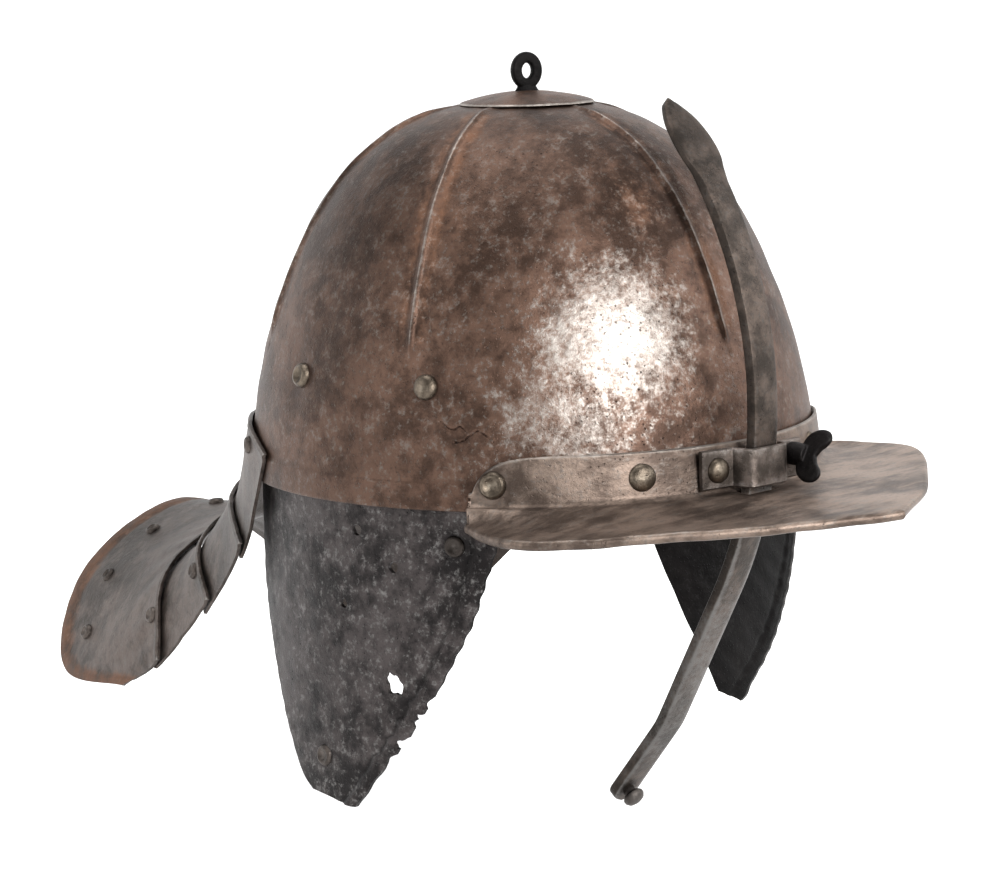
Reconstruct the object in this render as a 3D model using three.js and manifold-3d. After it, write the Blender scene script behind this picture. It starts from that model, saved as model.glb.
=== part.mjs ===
// A lobster-tail pot helmet: a ribbed steel skull with a riveted peak, a nasal bar that slides under
// a strap and is clamped by a wing screw, two hanging cheek plates and a tail of four overlapping lames.
// Millimetres, +Z up. The front faces -Y, the wearer's right is -X, and the origin is mid-rim.

import * as THREE from 'three';
import { mergeVertices } from 'three/addons/utils/BufferGeometryUtils.js';
import Module from 'manifold-3d';

const wasm = await Module();
wasm.setup();

const DEG = Math.PI / 180;
const RIGHT = -1;
const LEFT = 1;
const SIDES = [{ name: 'right', hand: RIGHT }, { name: 'left', hand: LEFT }];

// Clearance between neighbouring pieces
const GAP = 0.3;

// Fineness of the shapes
const WELD = 1e-4;
const STEP = 1e-3;
const HALVINGS = 40;
const HOLE_SIDES = 8;
const RIVET_SIDES = 10;
const EYE_SEGMENTS = 10;

// The skull is an oval bowl: its girth shrinks with height by two powers, and six ribs run from the crown
const skull = {
  halfLength: 113,
  halfWidth: 103.9,
  height: 139,
  wall: 1.6,
  facetDip: 0.6,
  crownPower: 1.75,
  wallPower: 2.7,
  waist: -0.036,
  borderHeight: 9.5,
  borderProud: 0.5,
  ribAngles: [0, 71, 123, 180, 237, 289],
  ribFoot: 52,
  ribFade: 10,
  outerRows: 11,
  innerRows: 8,
  plainColumns: 4,
};

// A rib's section, from the crest outwards: angle from the crest in degrees and height above the bowl
const ribSection = [
  { offset: -4.6, proud: 0 },
  { offset: -2.4, proud: -0.35 },
  { offset: 0, proud: 1.5 },
  { offset: 2.4, proud: -0.35 },
  { offset: 4.6, proud: 0 },
];

// The domed disc on the crown, a little ahead of the bowl's middle, and the eye to hang the helmet by
const finial = {
  radius: 25.5,
  rim: 0.9,
  dome: 4.1,
  forward: 3.2,
  clear: 0.5,
  sectors: 28,
  rings: [0, 0.4, 0.75, 1],
};
const eye = {
  halfWidth: 6.3,
  halfHeight: 7.4,
  stemHalf: 4,
  thick: 3,
  centre: 150,
  holeWidth: 2.6,
  holeHeight: 2.8,
  turn: -18 * DEG,
};

// The peak: an upright band on the skull that folds out into a pointed plate with a rolled edge
const peak = {
  sheet: 1.3,
  bandHeight: 20,
  bandEnd: 57.5 * DEG,
  bandCorner: 14,
  bandLeast: 7,
  fold: 3,
  foldMiddle: 0.3,
  roll: 1.8,
  rollStops: [90, 45, 0, -60, -120, -180],
  level: 2.2,
  tipDrop: 0.2,
  sideDrop: 2.6,
  skew: 0.03,
  columns: 36,
  slotHalfWidth: 8.4,
  slotFront: 121.8,
};

// Half of the peak's outline in plan, from its tip back to the end of the band
const peakOutline = [
  { aside: 0, ahead: 185.5 },
  { aside: 39, ahead: 163 },
  { aside: 73, ahead: 135.5 },
  { aside: 95.5, ahead: 114.5 },
  { aside: 103.5, ahead: 98 },
  { aside: 100.5, ahead: 80 },
  { aside: 93.5, ahead: 64 },
];

// The nasal bar's front face follows an arc, then its tangent, then a short bent end.
// The bar stands a little to the wearer's right and leans a little that way at the top.
const nasal = {
  centreY: 23.4,
  centreZ: 36,
  radius: 147.4,
  halfWidth: 6.2,
  thick: 4.2,
  leafThick: 2.6,
  chamfer: 0.8,
  shoulder: 148.6,
  arcEnd: 210,
  arcStep: 3.2,
  straight: 62,
  kneeTurn: 10,
  endLength: 46,
  aside: -1.2,
  lean: -0.016,
  leanHeight: 12,
};

// The leaf at the bar's top: angle on the arc in degrees and half width there
const leafSection = [
  { angle: 134.6, half: 0.5 },
  { angle: 136, half: 4 },
  { angle: 138, half: 6.9 },
  { angle: 140, half: 8.3 },
  { angle: 142.5, half: 9.3 },
  { angle: 145, half: 9.1 },
  { angle: 147, half: 7.7 },
];

// The bar's rounded lower end: distance back from the end and half width there
const barEnd = [
  { back: 6, half: 6.2 },
  { back: 3, half: 5.4 },
  { back: 1, half: 3.6 },
  { back: 0, half: 1.6 },
];

// The stud near the bar's lower end: its section from the axis, and its place back from the end
const stud = {
  back: 6,
  profile: [
    { radius: 0, height: 0 },
    { radius: 2.4, height: 0 },
    { radius: 2.4, height: 2 },
    { radius: 4.2, height: 2.6 },
    { radius: 3.8, height: 5 },
    { radius: 0, height: 6 },
  ],
};

// The strap over the bar: its inner face in plan, riveted at the right, with the wing screw at the left
const strap = { thick: 1.8, bottom: 4.6, height: 14, holeRadius: 3.1 };
const strapLine = [
  { x: -24, y: -112.8 },
  { x: -9.5, y: -115.4 },
  { x: -8.1, y: -123.5 },
  { x: 8.1, y: -123.5 },
  { x: 9.6, y: -118.8 },
  { x: 21.5, y: -118.2 },
];
const screw = {
  x: 14.4,
  z: 13.6,
  shankRadius: 2.4,
  shankBack: -114.7,
  bossRadius: 4.2,
  bossBack: -120.9,
  bossFront: -128.5,
  bossTaper: 0.8,
  wingBack: -125,
  wingThick: 2.4,
  wingTurn: 60 * DEG,
  sides: 12,
};

// The wing's outline on one side: distance from the axis and distance ahead of its root
const wingOutline = [
  { aside: 3.4, ahead: 0 },
  { aside: 8, ahead: 2.2 },
  { aside: 10.4, ahead: 6.5 },
  { aside: 9.8, ahead: 11 },
  { aside: 6.6, ahead: 12.6 },
  { aside: 2.6, ahead: 9.4 },
];

// The cheek plates hang inside the rim on a bowl-shaped surface that flares outwards towards the tip
const cheek = { halfLength: 109.4, halfWidth: 100.5, thick: 1.5, flare: 4, flareDepth: 110 };

// A cheek's edges at each height: the front edge is the same on both, the left is narrower behind
const cheekRows = [
  { z: 6, front: -64, rightBack: 62, leftBack: 47 },
  { z: -11, front: -65.5, rightBack: 68, leftBack: 46 },
  { z: -27, front: -61.5, rightBack: 68, leftBack: 40 },
  { z: -42, front: -57, rightBack: 63, leftBack: 33 },
  { z: -57, front: -50.2, rightBack: 53.6, leftBack: 26.8 },
  { z: -70, front: -43.4, rightBack: 45.6, leftBack: 21 },
  { z: -83, front: -35.2, rightBack: 38, leftBack: 15 },
  { z: -95, front: -26, rightBack: 29.4, leftBack: 8.4 },
  { z: -105.5, front: -16.6, rightBack: 21, leftBack: 3.3 },
  { z: -110.6, front: -11.6, rightBack: 13.5, leftBack: 0.9 },
];

// Across a cheek from front to back: the raised border by its distance from the edge, then the plate
const cheekBorder = [
  { inset: 0, proud: 0.3 },
  { inset: 2, proud: 1 },
  { inset: 4.6, proud: 0.9 },
  { inset: 6.6, proud: 0 },
];
const cheekSpread = [0.22, 0.45, 0.68, 0.86, 1];

// Round lacing holes in both cheeks, and rust holes and edge losses in the right one
const cheekHoles = [
  { y: -12.4, z: -10.1, radius: 2.1 },
  { y: -28.9, z: -22.4, radius: 2 },
  { y: -5.2, z: -37.9, radius: 1.8 },
];
const rustHoles = [
  { y: -29.1, z: -65.8, radius: 3.3 },
  { y: -26.8, z: -63.2, radius: 2.1 },
  { y: -39.6, z: -76.8, radius: 1.8 },
  { y: -31.6, z: -87, radius: 1.7 },
  { y: -43.8, z: -70.6, radius: 1.5 },
];

// The hidden leather that carries a cheek: it lies on the skull's inside and steps in behind the plate
const hanger = {
  thick: 2,
  from: 68 * DEG,
  to: 106 * DEG,
  top: 52,
  bend: 13,
  step: 8,
  foot: -6,
  columns: 6,
};

// The tail: five rings from the skull to the rear border, each with four stations from back to end
const tail = {
  sheet: 1.3,
  pitch: 2.1,
  seatLift: 1.3,
  overlap: 0.22,
  columns: 24,
  rows: 4,
  ringTop: 19,
  endClear: 0.005,
  ringClear: 0.01,
};
const skullRingPlan = [
  { angle: 180, drop: 0 },
  { angle: 152, drop: 0 },
  { angle: 127, drop: -1 },
  { angle: 111, drop: 7 },
];
const tailRings = [
  [
    { x: 0, y: 118, z: -6 },
    { x: 41.5, y: 111, z: -9 },
    { x: 70, y: 94.3, z: -15 },
    { x: 90.5, y: 63, z: -26 },
  ],
  [
    { x: 0, y: 132, z: -25 },
    { x: 41, y: 128, z: -30 },
    { x: 68, y: 116, z: -38.5 },
    { x: 81.6, y: 93.8, z: -54 },
  ],
  [
    { x: 0, y: 152, z: -41 },
    { x: 40, y: 150, z: -46 },
    { x: 66, y: 142, z: -58.5 },
    { x: 78, y: 130.7, z: -85 },
  ],
  [
    { x: 0, y: 228, z: -48 },
    { x: 43, y: 231, z: -69.5 },
    { x: 66, y: 215, z: -103 },
    { x: 77, y: 157, z: -100 },
  ],
];

// Rivet heads: radius and height by kind
const rivetSizes = {
  side: { radius: 4.6, height: 2.6 },
  band: { radius: 5, height: 2.4 },
  strap: { radius: 4.6, height: 2.6 },
  cheek: { radius: 4, height: 2.2 },
  lame: { radius: 3.4, height: 1.8 },
};

// A head's outline from its flat back to its top, as shares of its radius and height
const rivetOutline = [
  { radius: 0, height: 0 },
  { radius: 1, height: 0 },
  { radius: 0.94, height: 0.42 },
  { radius: 0.6, height: 0.85 },
  { radius: 0, height: 1 },
];

// Rivets through the skull that carry the hangers, and through the peak's band: angle in degrees and height
const sideRivets = [{ angle: 67, z: 43.3 }, { angle: 100.8, z: 43.3 }];
const bandRivets = [{ angle: 25, z: 11 }, { angle: 53, z: 10 }];
const strapRivet = { x: -17.2, z: 11.2 };
const cheekRivets = [{ y: -52.4, z: -13.2 }, { y: 6.2, z: -96.5 }];
const leftTipShift = -13;

// Rivets of the tail: place across from the back to the end of a side, and place along from ring to ring
const lameRivets = [
  { across: 0.78, along: 0.16, lame: 1 },
  { across: 0.42, along: 1.88, lame: 2 },
  { across: 0.78, along: 2.15, lame: 3 },
  { across: 0.78, along: 3.1, lame: 4 },
  { across: 0.6, along: 3.77, lame: 4 },
  { across: 0.4, along: 3.73, lame: 4 },
  { across: 0.2, along: 3.71, lame: 4 },
];
const backRivet = { across: 0, along: 3.66, lame: 4 };

// Finishes by piece
const finish = {
  bowl: { color: 0x6b4a35, roughness: 0.42, metalness: 0.85 },
  plate: { color: 0x5d4534, roughness: 0.45, metalness: 0.85 },
  dark: { color: 0x2f2d2c, roughness: 0.55, metalness: 0.8 },
  bare: { color: 0x77736d, roughness: 0.4, metalness: 0.9 },
  head: { color: 0x857d70, roughness: 0.35, metalness: 0.9 },
  hide: { color: 0x4a3324, roughness: 0.8, metalness: 0 },
};

// A mesh that has only places, with shared corners joined and collapsed faces left out
function weld(geometry) {
  const bare = new THREE.BufferGeometry();
  bare.setAttribute('position', geometry.getAttribute('position'));
  bare.setIndex(geometry.getIndex());
  const merged = mergeVertices(bare, WELD);
  const index = merged.getIndex().array;
  const kept = [];
  for (let i = 0; i < index.length; i += 3) {
    const [a, b, c] = [index[i], index[i + 1], index[i + 2]];
    if (a !== b && b !== c && c !== a) kept.push(a, b, c);
  }
  merged.setIndex(kept);
  return merged;
}

// Turns every face round when the skin is inside out
function faceOutwards(geometry) {
  const place = geometry.getAttribute('position');
  const index = Array.from(geometry.getIndex().array);
  const [a, b, c] = [new THREE.Vector3(), new THREE.Vector3(), new THREE.Vector3()];
  let volume = 0;
  for (let i = 0; i < index.length; i += 3) {
    a.fromBufferAttribute(place, index[i]);
    b.fromBufferAttribute(place, index[i + 1]);
    c.fromBufferAttribute(place, index[i + 2]);
    volume += a.dot(b.cross(c));
  }
  if (volume < 0) {
    for (let i = 0; i < index.length; i += 3) [index[i], index[i + 1]] = [index[i + 1], index[i]];
    geometry.setIndex(index);
  }
  return geometry;
}

// Triangles that close a loop whose second half runs back beside its first half
function closeLoop(size) {
  const faces = [];
  for (let k = 0; k + 1 < size / 2; k += 1) {
    const across = size - 1 - k;
    faces.push([k, k + 1, across - 1], [k, across - 1, across]);
  }
  return faces;
}

// Joins loops of equal length into one closed skin, round a full turn or with both ends closed
function loft(loops, fullTurn = false) {
  const size = loops[0].length;
  const places = loops.flatMap((loop) => loop.flatMap((point) => [point.x, point.y, point.z]));
  const index = [];
  const spans = fullTurn ? loops.length : loops.length - 1;
  for (let span = 0; span < spans; span += 1) {
    const here = span * size;
    const there = ((span + 1) % loops.length) * size;
    for (let k = 0; k < size; k += 1) {
      const next = (k + 1) % size;
      index.push(here + k, here + next, there + next, here + k, there + next, there + k);
    }
  }
  if (!fullTurn) {
    const last = (loops.length - 1) * size;
    closeLoop(size).forEach(([a, b, c]) => index.push(c, b, a, last + a, last + b, last + c));
  }
  const geometry = new THREE.BufferGeometry();
  geometry.setAttribute('position', new THREE.Float32BufferAttribute(places, 3));
  geometry.setIndex(index);
  return faceOutwards(weld(geometry));
}

// Solids for joins and cuts
function toSolid(geometry) {
  const merged = weld(geometry.index ? geometry : mergeVertices(geometry));
  const vertProperties = new Float32Array(merged.getAttribute('position').array);
  const triVerts = new Uint32Array(merged.getIndex().array);
  return new wasm.Manifold(new wasm.Mesh({ numProp: 3, vertProperties, triVerts }));
}

function fromSolid(solid) {
  const mesh = solid.getMesh();
  const geometry = new THREE.BufferGeometry();
  geometry.setAttribute('position', new THREE.Float32BufferAttribute(mesh.vertProperties, 3));
  geometry.setIndex(Array.from(mesh.triVerts));
  return geometry;
}

function cut(geometry, tools) {
  return fromSolid(tools.reduce((left, tool) => left.subtract(toSolid(tool)), toSolid(geometry)));
}

function piece(name, geometry, { color, roughness, metalness }) {
  const mesh = new THREE.Mesh(geometry, new THREE.MeshStandardMaterial({ color, roughness, metalness }));
  mesh.geometry.computeVertexNormals();
  mesh.name = name;
  return mesh;
}

// The skull's girth at a height, as a share of the girth at its rim
function girth(z, lift) {
  const level = THREE.MathUtils.clamp(z / (skull.height + lift), 0, 1);
  const crown = Math.pow(1 - Math.pow(level, skull.crownPower), 1 / skull.wallPower);
  return crown * (1 + skull.waist * level * (1 - level));
}

// The skull's outside, or a copy that is lift larger; angle 0 is the front, 90 degrees the wearer's right
function skullPoint(angle, z, lift = 0) {
  const share = girth(z, lift);
  const x = -(skull.halfWidth + lift) * share * Math.sin(angle);
  const y = -(skull.halfLength + lift) * share * Math.cos(angle);
  return new THREE.Vector3(x, y, z);
}

// Place and outward direction of a surface at two coordinates, outward being away from a point inside
function seatOn(surface, u, v, inside) {
  const point = surface(u, v);
  const across = surface(u + STEP, v).sub(surface(u - STEP, v));
  const along = surface(u, v + STEP).sub(surface(u, v - STEP));
  const normal = across.cross(along).normalize();
  if (normal.dot(point.clone().sub(inside)) < 0) normal.negate();
  return { point, normal };
}

function rivet(name, size, { point, normal }) {
  const scaled = ({ radius, height }) => new THREE.Vector2(radius * size.radius, height * size.height);
  const outline = rivetOutline.map(scaled);
  const head = piece(name, weld(new THREE.LatheGeometry(outline, RIVET_SIDES)), finish.head);
  head.quaternion.setFromUnitVectors(new THREE.Vector3(0, 1, 0), normal);
  head.position.copy(point).addScaledVector(normal, GAP + flatness(size.radius));
  return head;
}

// How far a flat rivet head stands off the bowl under its edge
function flatness(radius) {
  return (radius * radius) / (2 * skull.halfLength);
}

// Skull with ribs and a raised border
function makeSkull() {
  const columns = [];
  skull.ribAngles.forEach((rib, i) => {
    ribSection.forEach(({ offset, proud }) => columns.push({ angle: (rib + offset) * DEG, proud }));
    const last = ribSection[ribSection.length - 1].offset;
    const next = i + 1 < skull.ribAngles.length ? skull.ribAngles[i + 1] : 360;
    const width = next - rib - 2 * last;
    for (let k = 1; k <= skull.plainColumns; k += 1) {
      const share = k / (skull.plainColumns + 1);
      columns.push({ angle: (rib + last + share * width) * DEG, proud: 0 });
    }
  });
  const risen = (share, top) => top * Math.sin(share * Math.PI / 2);
  const rows = (count, top) => Array.from({ length: count }, (_, i) => risen(i / (count - 1), top));
  const ribRows = [skull.ribFoot, skull.ribFoot + skull.ribFade];
  const bodyRows = rows(skull.outerRows, skull.height).filter((z) => z > 2 * skull.borderHeight);
  const outer = [...bodyRows, ...ribRows].sort((a, b) => b - a);
  const inner = rows(skull.innerRows, skull.height - skull.wall);
  const loops = columns.map(({ angle, proud }) => {
    const loop = outer.map((z) => {
      const rise = THREE.MathUtils.smoothstep(z, skull.ribFoot, skull.ribFoot + skull.ribFade);
      const meet = 1 - THREE.MathUtils.smoothstep(z, skull.height - skull.ribFade, skull.height);
      const lift = proud * rise * meet;
      const base = skullPoint(angle, z);
      return base.addScaledVector(new THREE.Vector3(base.x, base.y, base.z).normalize(), lift);
    });
    loop.push(skullPoint(angle, skull.borderHeight + skull.borderProud));
    loop.push(skullPoint(angle, skull.borderHeight, skull.borderProud));
    loop.push(skullPoint(angle, 0, skull.borderProud));
    inner.forEach((z) => loop.push(skullPoint(angle, z, -skull.wall)));
    return loop;
  });
  return piece('skull', loft(loops, true), finish.bowl);
}

// Height of the skull's outside over a point in plan, found by halving
function crownHeight(x, y) {
  const share = Math.hypot(x / skull.halfWidth, y / skull.halfLength);
  let [low, high] = [0, skull.height];
  for (let i = 0; i < HALVINGS; i += 1) {
    const middle = (low + high) / 2;
    if (girth(middle, 0) > share) low = middle;
    else high = middle;
  }
  return low;
}

const discEdge = crownHeight(0, finial.radius + finial.forward) + finial.rim + finial.clear;
const discTop = discEdge + finial.dome;

function makeFinialDisc() {
  const top = (x, y, ring) => discEdge + finial.dome * (1 - ring * ring);
  const under = (x, y) => crownHeight(x, y) + finial.clear;
  const loops = Array.from({ length: finial.sectors }, (_, i) => {
    const turn = (i / finial.sectors) * 2 * Math.PI;
    const at = (ring, height) => {
      const x = finial.radius * ring * Math.cos(turn);
      const y = finial.radius * ring * Math.sin(turn) - finial.forward;
      return new THREE.Vector3(x, y, height(x, y, ring));
    };
    const upper = finial.rings.map((ring) => at(ring, top));
    const lower = finial.rings.map((ring) => at(ring, under));
    return [...upper, ...lower.reverse()];
  });
  return piece('finial_disc', loft(loops, true), finish.bowl);
}

// Eye: an oval with a hole on a short stem, cut from flat bar and turned a little towards the right
function makeHangingEye() {
  const foot = discTop + GAP - eye.centre;
  const join = Math.asin(eye.stemHalf / eye.halfWidth);
  const shape = new THREE.Shape();
  shape.moveTo(-eye.stemHalf, foot);
  shape.lineTo(eye.stemHalf, foot);
  const lowest = -Math.PI / 2;
  shape.absellipse(0, 0, eye.halfWidth, eye.halfHeight, lowest + join, lowest - join + 2 * Math.PI, false);
  shape.lineTo(-eye.stemHalf, foot);
  const hole = new THREE.Path();
  hole.absellipse(0, 0, eye.holeWidth, eye.holeHeight, 0, 2 * Math.PI, true);
  shape.holes.push(hole);
  const flat = new THREE.ExtrudeGeometry(shape, {
    depth: eye.thick,
    bevelEnabled: false,
    curveSegments: EYE_SEGMENTS,
  });
  flat.translate(0, 0, -eye.thick / 2);
  const mesh = piece('hanging_eye', weld(flat), finish.dark);
  mesh.rotation.set(Math.PI / 2, eye.turn, 0, 'ZXY');
  mesh.position.set(0, -finial.forward, eye.centre);
  return mesh;
}

// Peak: a closed section for each angle, down the band, out along the plate and round the rolled edge
const peakInner = skull.borderProud + GAP;
const peakOuter = peakInner + peak.sheet;

function peakLoop(angle, outline) {
  const share = Math.abs(angle) / peak.bandEnd;
  const top = Math.max(peak.bandLeast, peak.bandHeight * Math.sqrt(1 - Math.pow(share, peak.bandCorner)));
  const edgePlan = outline.getPoint(share);
  const drop = THREE.MathUtils.lerp(peak.tipDrop, peak.sideDrop, Math.sin(share * Math.PI / 2));
  const root = skullPoint(angle, 0, peakOuter + peak.fold).setZ(peak.level);
  const edge = new THREE.Vector3(-Math.sign(angle) * edgePlan.x, -edgePlan.y, peak.level - drop);
  edge.z += peak.skew * edge.x;
  const way = edge.clone().sub(root).setZ(0).normalize();
  const up = new THREE.Vector3(0, 0, 1);
  const rollCentre = edge.clone().addScaledVector(way, -peak.roll).addScaledVector(up, -peak.roll);
  const onRoll = (degrees) => rollCentre.clone()
    .addScaledVector(way, peak.roll * Math.cos(degrees * DEG))
    .addScaledVector(up, peak.roll * Math.sin(degrees * DEG));
  const half = root.clone().lerp(onRoll(peak.rollStops[0]), 0.5);
  const lower = (point) => point.clone().addScaledVector(up, -peak.sheet);
  return [
    skullPoint(angle, top, peakOuter),
    skullPoint(angle, peak.level + peak.fold, peakOuter),
    skullPoint(angle, peak.level + peak.fold * peak.foldMiddle, peakOuter + peak.fold * peak.foldMiddle),
    root,
    half,
    ...peak.rollStops.map(onRoll),
    lower(half),
    lower(root),
    skullPoint(angle, peak.level - peak.sheet, peakOuter),
    skullPoint(angle, peak.level, peakInner),
    skullPoint(angle, top, peakInner),
  ];
}

function makePeak() {
  const plan = peakOutline.map(({ aside, ahead }) => new THREE.Vector2(aside, ahead));
  const outline = new THREE.SplineCurve(plan);
  const loops = [];
  for (let i = 0; i <= peak.columns; i += 1) {
    loops.push(peakLoop(THREE.MathUtils.lerp(-peak.bandEnd, peak.bandEnd, i / peak.columns), outline));
  }
  const slotBack = skull.halfLength + skull.borderProud + GAP / 2;
  const slot = new THREE.BoxGeometry(2 * peak.slotHalfWidth, peak.slotFront - slotBack, 4 * peak.fold);
  slot.translate(nasal.aside, -(peak.slotFront + slotBack) / 2, peak.level - peak.fold);
  return piece('peak', cut(loft(loops), [slot]), finish.plate);
}

// Nasal bar: a section at each station of the arc, the straight and the bent end
const nasalLength = nasal.straight + nasal.endLength;

function nasalStation({ angle, beyond = 0, half, thick }) {
  const outward = (degrees) => new THREE.Vector3(0, Math.cos(degrees * DEG), Math.sin(degrees * DEG));
  const downward = (out) => new THREE.Vector3(0, -out.z, out.y);
  const front = new THREE.Vector3(0, nasal.centreY, nasal.centreZ);
  let out = outward(angle);
  front.addScaledVector(out, nasal.radius).addScaledVector(downward(out), Math.min(beyond, nasal.straight));
  if (beyond > nasal.straight) {
    out = outward(angle + nasal.kneeTurn);
    front.addScaledVector(downward(out), beyond - nasal.straight);
  }
  const at = (aside, depth) => {
    const point = front.clone().addScaledVector(out, -depth);
    return point.setX(nasal.aside + nasal.lean * (point.z - nasal.leanHeight) + aside);
  };
  const edge = Math.min(nasal.chamfer, half / 2);
  const backHalf = [at(-half, thick), at(-half, edge), at(-half + edge, 0)];
  const frontHalf = [at(half - edge, 0), at(half, edge), at(half, thick)];
  return { loop: [...backHalf, ...frontHalf], middle: at(0, 0), out };
}

function makeNasalBar() {
  const stations = leafSection.map(({ angle, half }) => ({ angle, half, thick: nasal.leafThick }));
  const bar = { half: nasal.halfWidth, thick: nasal.thick };
  for (let angle = nasal.shoulder; angle < nasal.arcEnd; angle += nasal.arcStep) {
    stations.push({ angle, ...bar });
  }
  stations.push({ angle: nasal.arcEnd, ...bar }, { angle: nasal.arcEnd, beyond: nasal.straight, ...bar });
  barEnd.forEach(({ back, half }) => {
    stations.push({ angle: nasal.arcEnd, beyond: nasalLength - back, half, thick: nasal.thick });
  });
  return piece('nasal_bar', loft(stations.map((station) => nasalStation(station).loop)), finish.bare);
}

function makeNasalStud() {
  const bar = { half: nasal.halfWidth, thick: nasal.thick };
  const { middle, out } = nasalStation({ angle: nasal.arcEnd, beyond: nasalLength - stud.back, ...bar });
  const outline = stud.profile.map(({ radius, height }) => new THREE.Vector2(radius, height));
  const mesh = piece('nasal_stud', weld(new THREE.LatheGeometry(outline, RIVET_SIDES)), finish.dark);
  mesh.quaternion.setFromUnitVectors(new THREE.Vector3(0, 1, 0), out);
  mesh.position.copy(middle).addScaledVector(out, GAP);
  return mesh;
}

// The outline of a bent strip: its inner line, and that line moved out by its thickness with mitred bends
function bentStrip(line, thick) {
  const points = line.map(({ x, y }) => new THREE.Vector2(x, y));
  const sideways = points.slice(1).map((point, i) => {
    const run = point.clone().sub(points[i]).normalize();
    return new THREE.Vector2(run.y, -run.x);
  });
  const outer = points.map((point, i) => {
    const before = sideways[Math.max(0, i - 1)];
    const after = sideways[Math.min(sideways.length - 1, i)];
    const mitre = before.clone().add(after).normalize();
    return point.clone().addScaledVector(mitre, thick / mitre.dot(after));
  });
  return new THREE.Shape([...points, ...outer.reverse()]);
}

function makeStrap() {
  const outline = bentStrip(strapLine, strap.thick);
  const bent = new THREE.ExtrudeGeometry(outline, { depth: strap.height, bevelEnabled: false });
  bent.translate(nasal.aside, 0, strap.bottom);
  const through = 4 * strap.height;
  const hole = new THREE.CylinderGeometry(strap.holeRadius, strap.holeRadius, through, screw.sides);
  hole.translate(screw.x, -skull.halfLength, screw.z);
  return piece('nasal_strap', cut(bent, [hole]), finish.bowl);
}

// Wing screw: a shank through the strap, a boss and two lobes
function makeWingScrew() {
  const profile = [
    [0, screw.shankBack],
    [screw.shankRadius, screw.shankBack],
    [screw.shankRadius, screw.bossBack],
    [screw.bossRadius, screw.bossBack],
    [screw.bossRadius * screw.bossTaper, screw.bossFront],
    [0, screw.bossFront],
  ];
  const turned = new THREE.LatheGeometry(profile.map(([r, y]) => new THREE.Vector2(r, -y)), screw.sides);
  turned.rotateX(Math.PI);
  const half = wingOutline.map(({ aside, ahead }) => new THREE.Vector2(aside, -ahead));
  const mirrored = half.map((point) => new THREE.Vector2(-point.x, point.y)).reverse();
  const wings = new THREE.ExtrudeGeometry(new THREE.Shape([...half, ...mirrored]), {
    depth: screw.wingThick,
    bevelEnabled: false,
  });
  wings.translate(0, screw.wingBack, -screw.wingThick / 2);
  wings.rotateY(-screw.wingTurn);
  const joined = fromSolid(toSolid(turned).add(toSolid(wings)));
  joined.translate(screw.x, 0, screw.z);
  return piece('wing_screw', joined, finish.dark);
}

// A cheek's outer face over a point of its side view
function cheekPoint(hand, y, z, proud = 0) {
  const bowl = cheek.halfWidth * Math.sqrt(1 - Math.pow(y / cheek.halfLength, 2));
  const flare = cheek.flare * Math.pow(Math.min(z, 0) / cheek.flareDepth, 2);
  return new THREE.Vector3(hand * (bowl + flare + proud), y, z);
}

function makeCheek({ name, hand }) {
  const loops = cheekRows.map(({ z, front, rightBack, leftBack }) => {
    const back = hand === RIGHT ? rightBack : leftBack;
    const rim = THREE.MathUtils.smoothstep(-z, 0, -cheekRows[1].z);
    const border = cheekBorder.map(({ inset, proud }) => ({ y: front + inset, proud: proud * rim }));
    const borderBack = border[border.length - 1].y;
    const plain = cheekSpread.map((share) => ({ y: borderBack + (back - borderBack) * share, proud: 0 }));
    const columns = [...border, ...plain];
    const outer = columns.map(({ y, proud }) => cheekPoint(hand, y, z, proud));
    const inner = columns.map(({ y, proud }) => cheekPoint(hand, y, z, proud - cheek.thick));
    return [...outer, ...inner.reverse()];
  });
  const holes = hand === RIGHT ? [...cheekHoles, ...rustHoles] : cheekHoles;
  const drills = holes.map(({ y, z, radius }) => {
    const drill = new THREE.CylinderGeometry(radius, radius, cheek.halfWidth, HOLE_SIDES);
    drill.rotateZ(Math.PI / 2);
    return drill.translate(hand * cheek.halfWidth, y, z);
  });
  return piece(`cheek_${name}`, cut(loft(loops), drills), finish.dark);
}

function makeHanger({ name, hand }) {
  const onSkull = -skull.wall - skull.facetDip - GAP;
  const onCheek = cheek.halfWidth - cheek.thick - skull.facetDip - GAP - skull.halfWidth;
  const rows = [
    { z: hanger.top, lift: onSkull },
    { z: hanger.bend, lift: onSkull },
    { z: hanger.step, lift: onCheek },
    { z: hanger.foot, lift: onCheek },
  ];
  const loops = Array.from({ length: hanger.columns + 1 }, (_, i) => {
    const angle = -hand * THREE.MathUtils.lerp(hanger.from, hanger.to, i / hanger.columns);
    const outer = rows.map(({ z, lift }) => skullPoint(angle, z, lift));
    const inner = rows.map(({ z, lift }) => skullPoint(angle, z, lift - hanger.thick));
    return [...outer, ...inner.reverse()];
  });
  return piece(`cheek_hanger_${name}`, loft(loops), finish.hide);
}

// The tail's surface: across runs from -1 at the right end over 0 at the back to 1, along from ring to ring
const skullRing = skullRingPlan.map(({ angle, drop }) => {
  const edge = skullPoint(angle * DEG, tail.ringTop - drop, tail.seatLift);
  return { x: -edge.x, y: edge.y, z: edge.z };
});
const ringCurves = [skullRing, ...tailRings].map((stations) => {
  const rightHalf = stations.slice(1).reverse().map(({ x, y, z }) => new THREE.Vector3(-x, y, z));
  const leftHalf = stations.map(({ x, y, z }) => new THREE.Vector3(x, y, z));
  return new THREE.CatmullRomCurve3([...rightHalf, ...leftHalf], false, 'catmullrom', 0.5);
});
const lastRing = ringCurves.length - 1;

function tailSurface(across, along) {
  const stations = ringCurves.map((ring) => ring.getPoint(THREE.MathUtils.clamp((across + 1) / 2, 0, 1)));
  const run = new THREE.CatmullRomCurve3(stations, false, 'catmullrom', 0.5);
  return run.getPoint(THREE.MathUtils.clamp(along / lastRing, 0, 1));
}

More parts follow.
